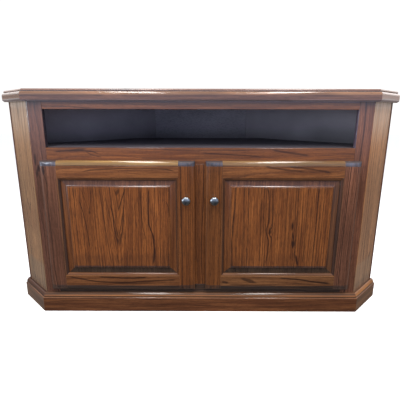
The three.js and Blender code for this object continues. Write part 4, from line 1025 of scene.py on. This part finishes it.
CENTRES = {"stile_outer": (-492.5, -22, 312), "stile_inner": (-44.5, -22, 312), "rail_top": (-268.5, -22, 512),
           "rail_bottom": (-268.5, -22, 112), "raised_panel": (-268.5, -22, 312)}
END_DARK = (0.050, 0.030, 0.026)

for side, sgn in (("left", 1), ("right", -1)):
    body = f"{side}_door"
    for part, look in DOOR_LOOK[side].items():
        me = parts[part].copy() if side == "left" else mirrored(parts[part], f"{part}_right")
        c = CENTRES[part]
        grain = "level" if part.startswith("rail") else "upright"
        mats = [oak(f"oak_door_{side}_{part}", grain, centre=(sgn * c[0], c[1], c[2]), end_grain=(0.30, 0.62, END_DARK), **look)]
        pick = None
        if part == "raised_panel":
            ends = dict(look)
            ends.update(streaks=(), veins=(), knots=(), bands=(), contrast=0.5)
            # lit and shaded copies of the panel's wood: the downward-facing bevels painted darker, painted shade; the
            # upward-facing ones paler and bluer, a painted sheen; the side bevels darker under a thinner, duller
            # varnish, painted shade, with a further dark band on the right door's right bevel
            mats.append(oak(f"oak_door_{side}_panel_foot_shaded", grain, centre=(sgn * c[0], c[1], c[2]), **{**ends, "gain": (0.20, 0.36, 0.9)}))
            mats.append(oak(f"oak_door_{side}_panel_head_sheen", grain, centre=(sgn * c[0], c[1], c[2]), **{**ends, "gain": (0.56, 0.66, 1.2), "ripples": 2.2}))

            mats.append(oak(f"oak_door_{side}_panel_side_shaded", grain, centre=(sgn * c[0], c[1], c[2]), **{**ends, "gain": (0.62, 0.66, 0.80), "gloss": 0.24, "coat": 0.5,
                                                 "bands": (("w", 181.0, 16.0, 2.0, 0.5 if side == "right" else 0.0, (0.070, 0.040, 0.026)),)}))

            def pick(c, n):
                if abs(n.x) > abs(n.z) and abs(n.x) > 0.03:
                    return 3
                return 1 if n.z < -0.03 else (2 if n.z > 0.03 else 0)
        place(f"oak_door_{side}_{part}", me, f"door_{side}_{part}", mats, smooth=30, pick=pick)
    me = parts["knob"].copy() if side == "left" else mirrored(parts["knob"], "knob_right")
    place(f"knob_{side}", me, f"door_{side}_knob", PEWTER, smooth=50)

# ------------------------------------------------------- carried-over hardware
for n, o in NODES.items():
    if o.hide_render:
        continue
    slot = SLOT_OF[n]
    o.data.materials.clear()
    o.data.materials.append({"steel": STEEL, "knob_metal": PEWTER, "rubber": RUBBER}.get(slot, STEEL))


# ------------------------------------------------------------ light and stage
def make_world():
    w = bpy.data.worlds.new("studio")
    bpy.context.scene.world = w
    w.use_nodes = True
    g = Graph(w.node_tree)
    tc = g.node("ShaderNodeTexCoord")
    x, y, z = g.split(tc.outputs["Generated"])
    front = g.step(y, -0.40, -0.78)
    side_glow = g.mul(g.step(g.math("ABSOLUTE", x), 0.35, 0.60), g.mul(g.step(z, 0.14, 0.24), g.step(z, 0.50, 0.38)))
    back = g.mix(side_glow, (0.52, 0.44, 0.38), (2.3, 2.2, 2.15))
    walls = g.mix(front, g.mix(g.step(y, 0.25, 0.0), back, (0.75, 0.72, 0.72)), (1.12, 1.32, 1.78))
    under = g.mix(front, (0.26, 0.22, 0.19), (0.10, 0.088, 0.080))
    col = g.mix(g.step(z, 0.03, -0.18), walls, under)
    col = g.mix(g.step(z, 0.30, 0.62), col, (0.85, 0.88, 0.95))
    bg = g.node("ShaderNodeBackground")
    g.put(bg.inputs[0], col)
    bg.inputs[1].default_value = 1.0
    out = g.node("ShaderNodeOutputWorld")
    g.t.links.new(bg.outputs[0], out.inputs[0])


def area_light(name, loc, size, power, color, aim):
    d = bpy.data.lights.new(name, "AREA")
    d.shape = "RECTANGLE"
    d.size, d.size_y = size
    d.energy = power
    d.color = color
    o = bpy.data.objects.new(name, d)
    bpy.context.scene.collection.objects.link(o)
    o.location = loc
    o.rotation_mode = "QUATERNION"
    o.rotation_quaternion = (Vector(aim) - Vector(loc)).to_track_quat("-Z", "Y")
    return o


def radiance_power(radiance, size):
    return radiance * math.pi * size[0] * size[1]


make_world()
for nm, x in (("tube_left", -0.56), ("tube_right", 0.74)):
    size = (0.34, 2.6)
    area_light(nm, (x, -1.5, 2.45), size, radiance_power(26.0, size), (1.0, 0.985, 0.97), (x, -1.5 + 1e-4, 0.0))
area_light("window", (-2.75, -2.6, 1.25), (1.0, 1.5), radiance_power(9.0, (1.0, 1.5)), (0.84, 0.92, 1.0), (-0.2, -0.2, 0.75))
pane = area_light("window_pane", (-2.75, -1.08, 0.61), (0.55, 0.56), radiance_power(34.0, (0.55, 0.56)), (0.80, 0.90, 1.0), (-0.5, -0.25, 0.68))
pane.visible_diffuse = False


def make_floor():
    me = bpy.data.meshes.new("floor")
    bm = bmesh.new()
    ring = [bm.verts.new((14 * math.cos(2 * math.pi * i / 96), 14 * math.sin(2 * math.pi * i / 96), -0.0005)) for i in range(96)]
    bm.faces.new(ring)
    bm.to_mesh(me)
    bm.free()
    o = bpy.data.objects.new("floor", me)
    bpy.context.scene.collection.objects.link(o)
    m, g = new_material("floor")
    tc = g.node("ShaderNodeTexCoord")
    n = g.noise(g.vmath("MULTIPLY", tc.outputs["Object"], (3.0, 3.0, 3.0)), detail=2.0)
    col = g.mix(n, (0.90, 0.90, 0.90), (0.93, 0.93, 0.925))
    finish_material(g, col, 0.8, **{"Specular IOR Level": 0.1, "Emission Color": (1.0, 0.99, 0.96, 1.0), "Emission Strength": 0.16})
    me.materials.append(m)
    o.visible_glossy = False
    o.visible_diffuse = False


def make_backdrop():
    me = bpy.data.meshes.new("backdrop")
    bm = bmesh.new()
    bmesh.ops.create_uvsphere(bm, u_segments=64, v_segments=32, radius=13.5)
    bmesh.ops.delete(bm, geom=[v for v in bm.verts if v.co.z < -0.01], context="VERTS")
    bmesh.ops.reverse_faces(bm, faces=bm.faces)
    bm.to_mesh(me)
    bm.free()
    o = bpy.data.objects.new("backdrop", me)
    bpy.context.scene.collection.objects.link(o)
    m, g = new_material("backdrop")
    em = g.node("ShaderNodeEmission")
    em.inputs[0].default_value = (1.0, 1.0, 1.0, 1)
    em.inputs[1].default_value = 1.1
    out = g.node("ShaderNodeOutputMaterial")
    g.t.links.new(em.outputs[0], out.inputs[0])
    me.materials.append(m)
    for flag in ("visible_glossy", "visible_diffuse", "visible_shadow", "visible_transmission", "visible_volume_scatter"):
        setattr(o, flag, False)


make_floor()
make_backdrop()

bpy.context.scene.view_settings.view_transform = "Standard"
bpy.context.scene.view_settings.look = "None"
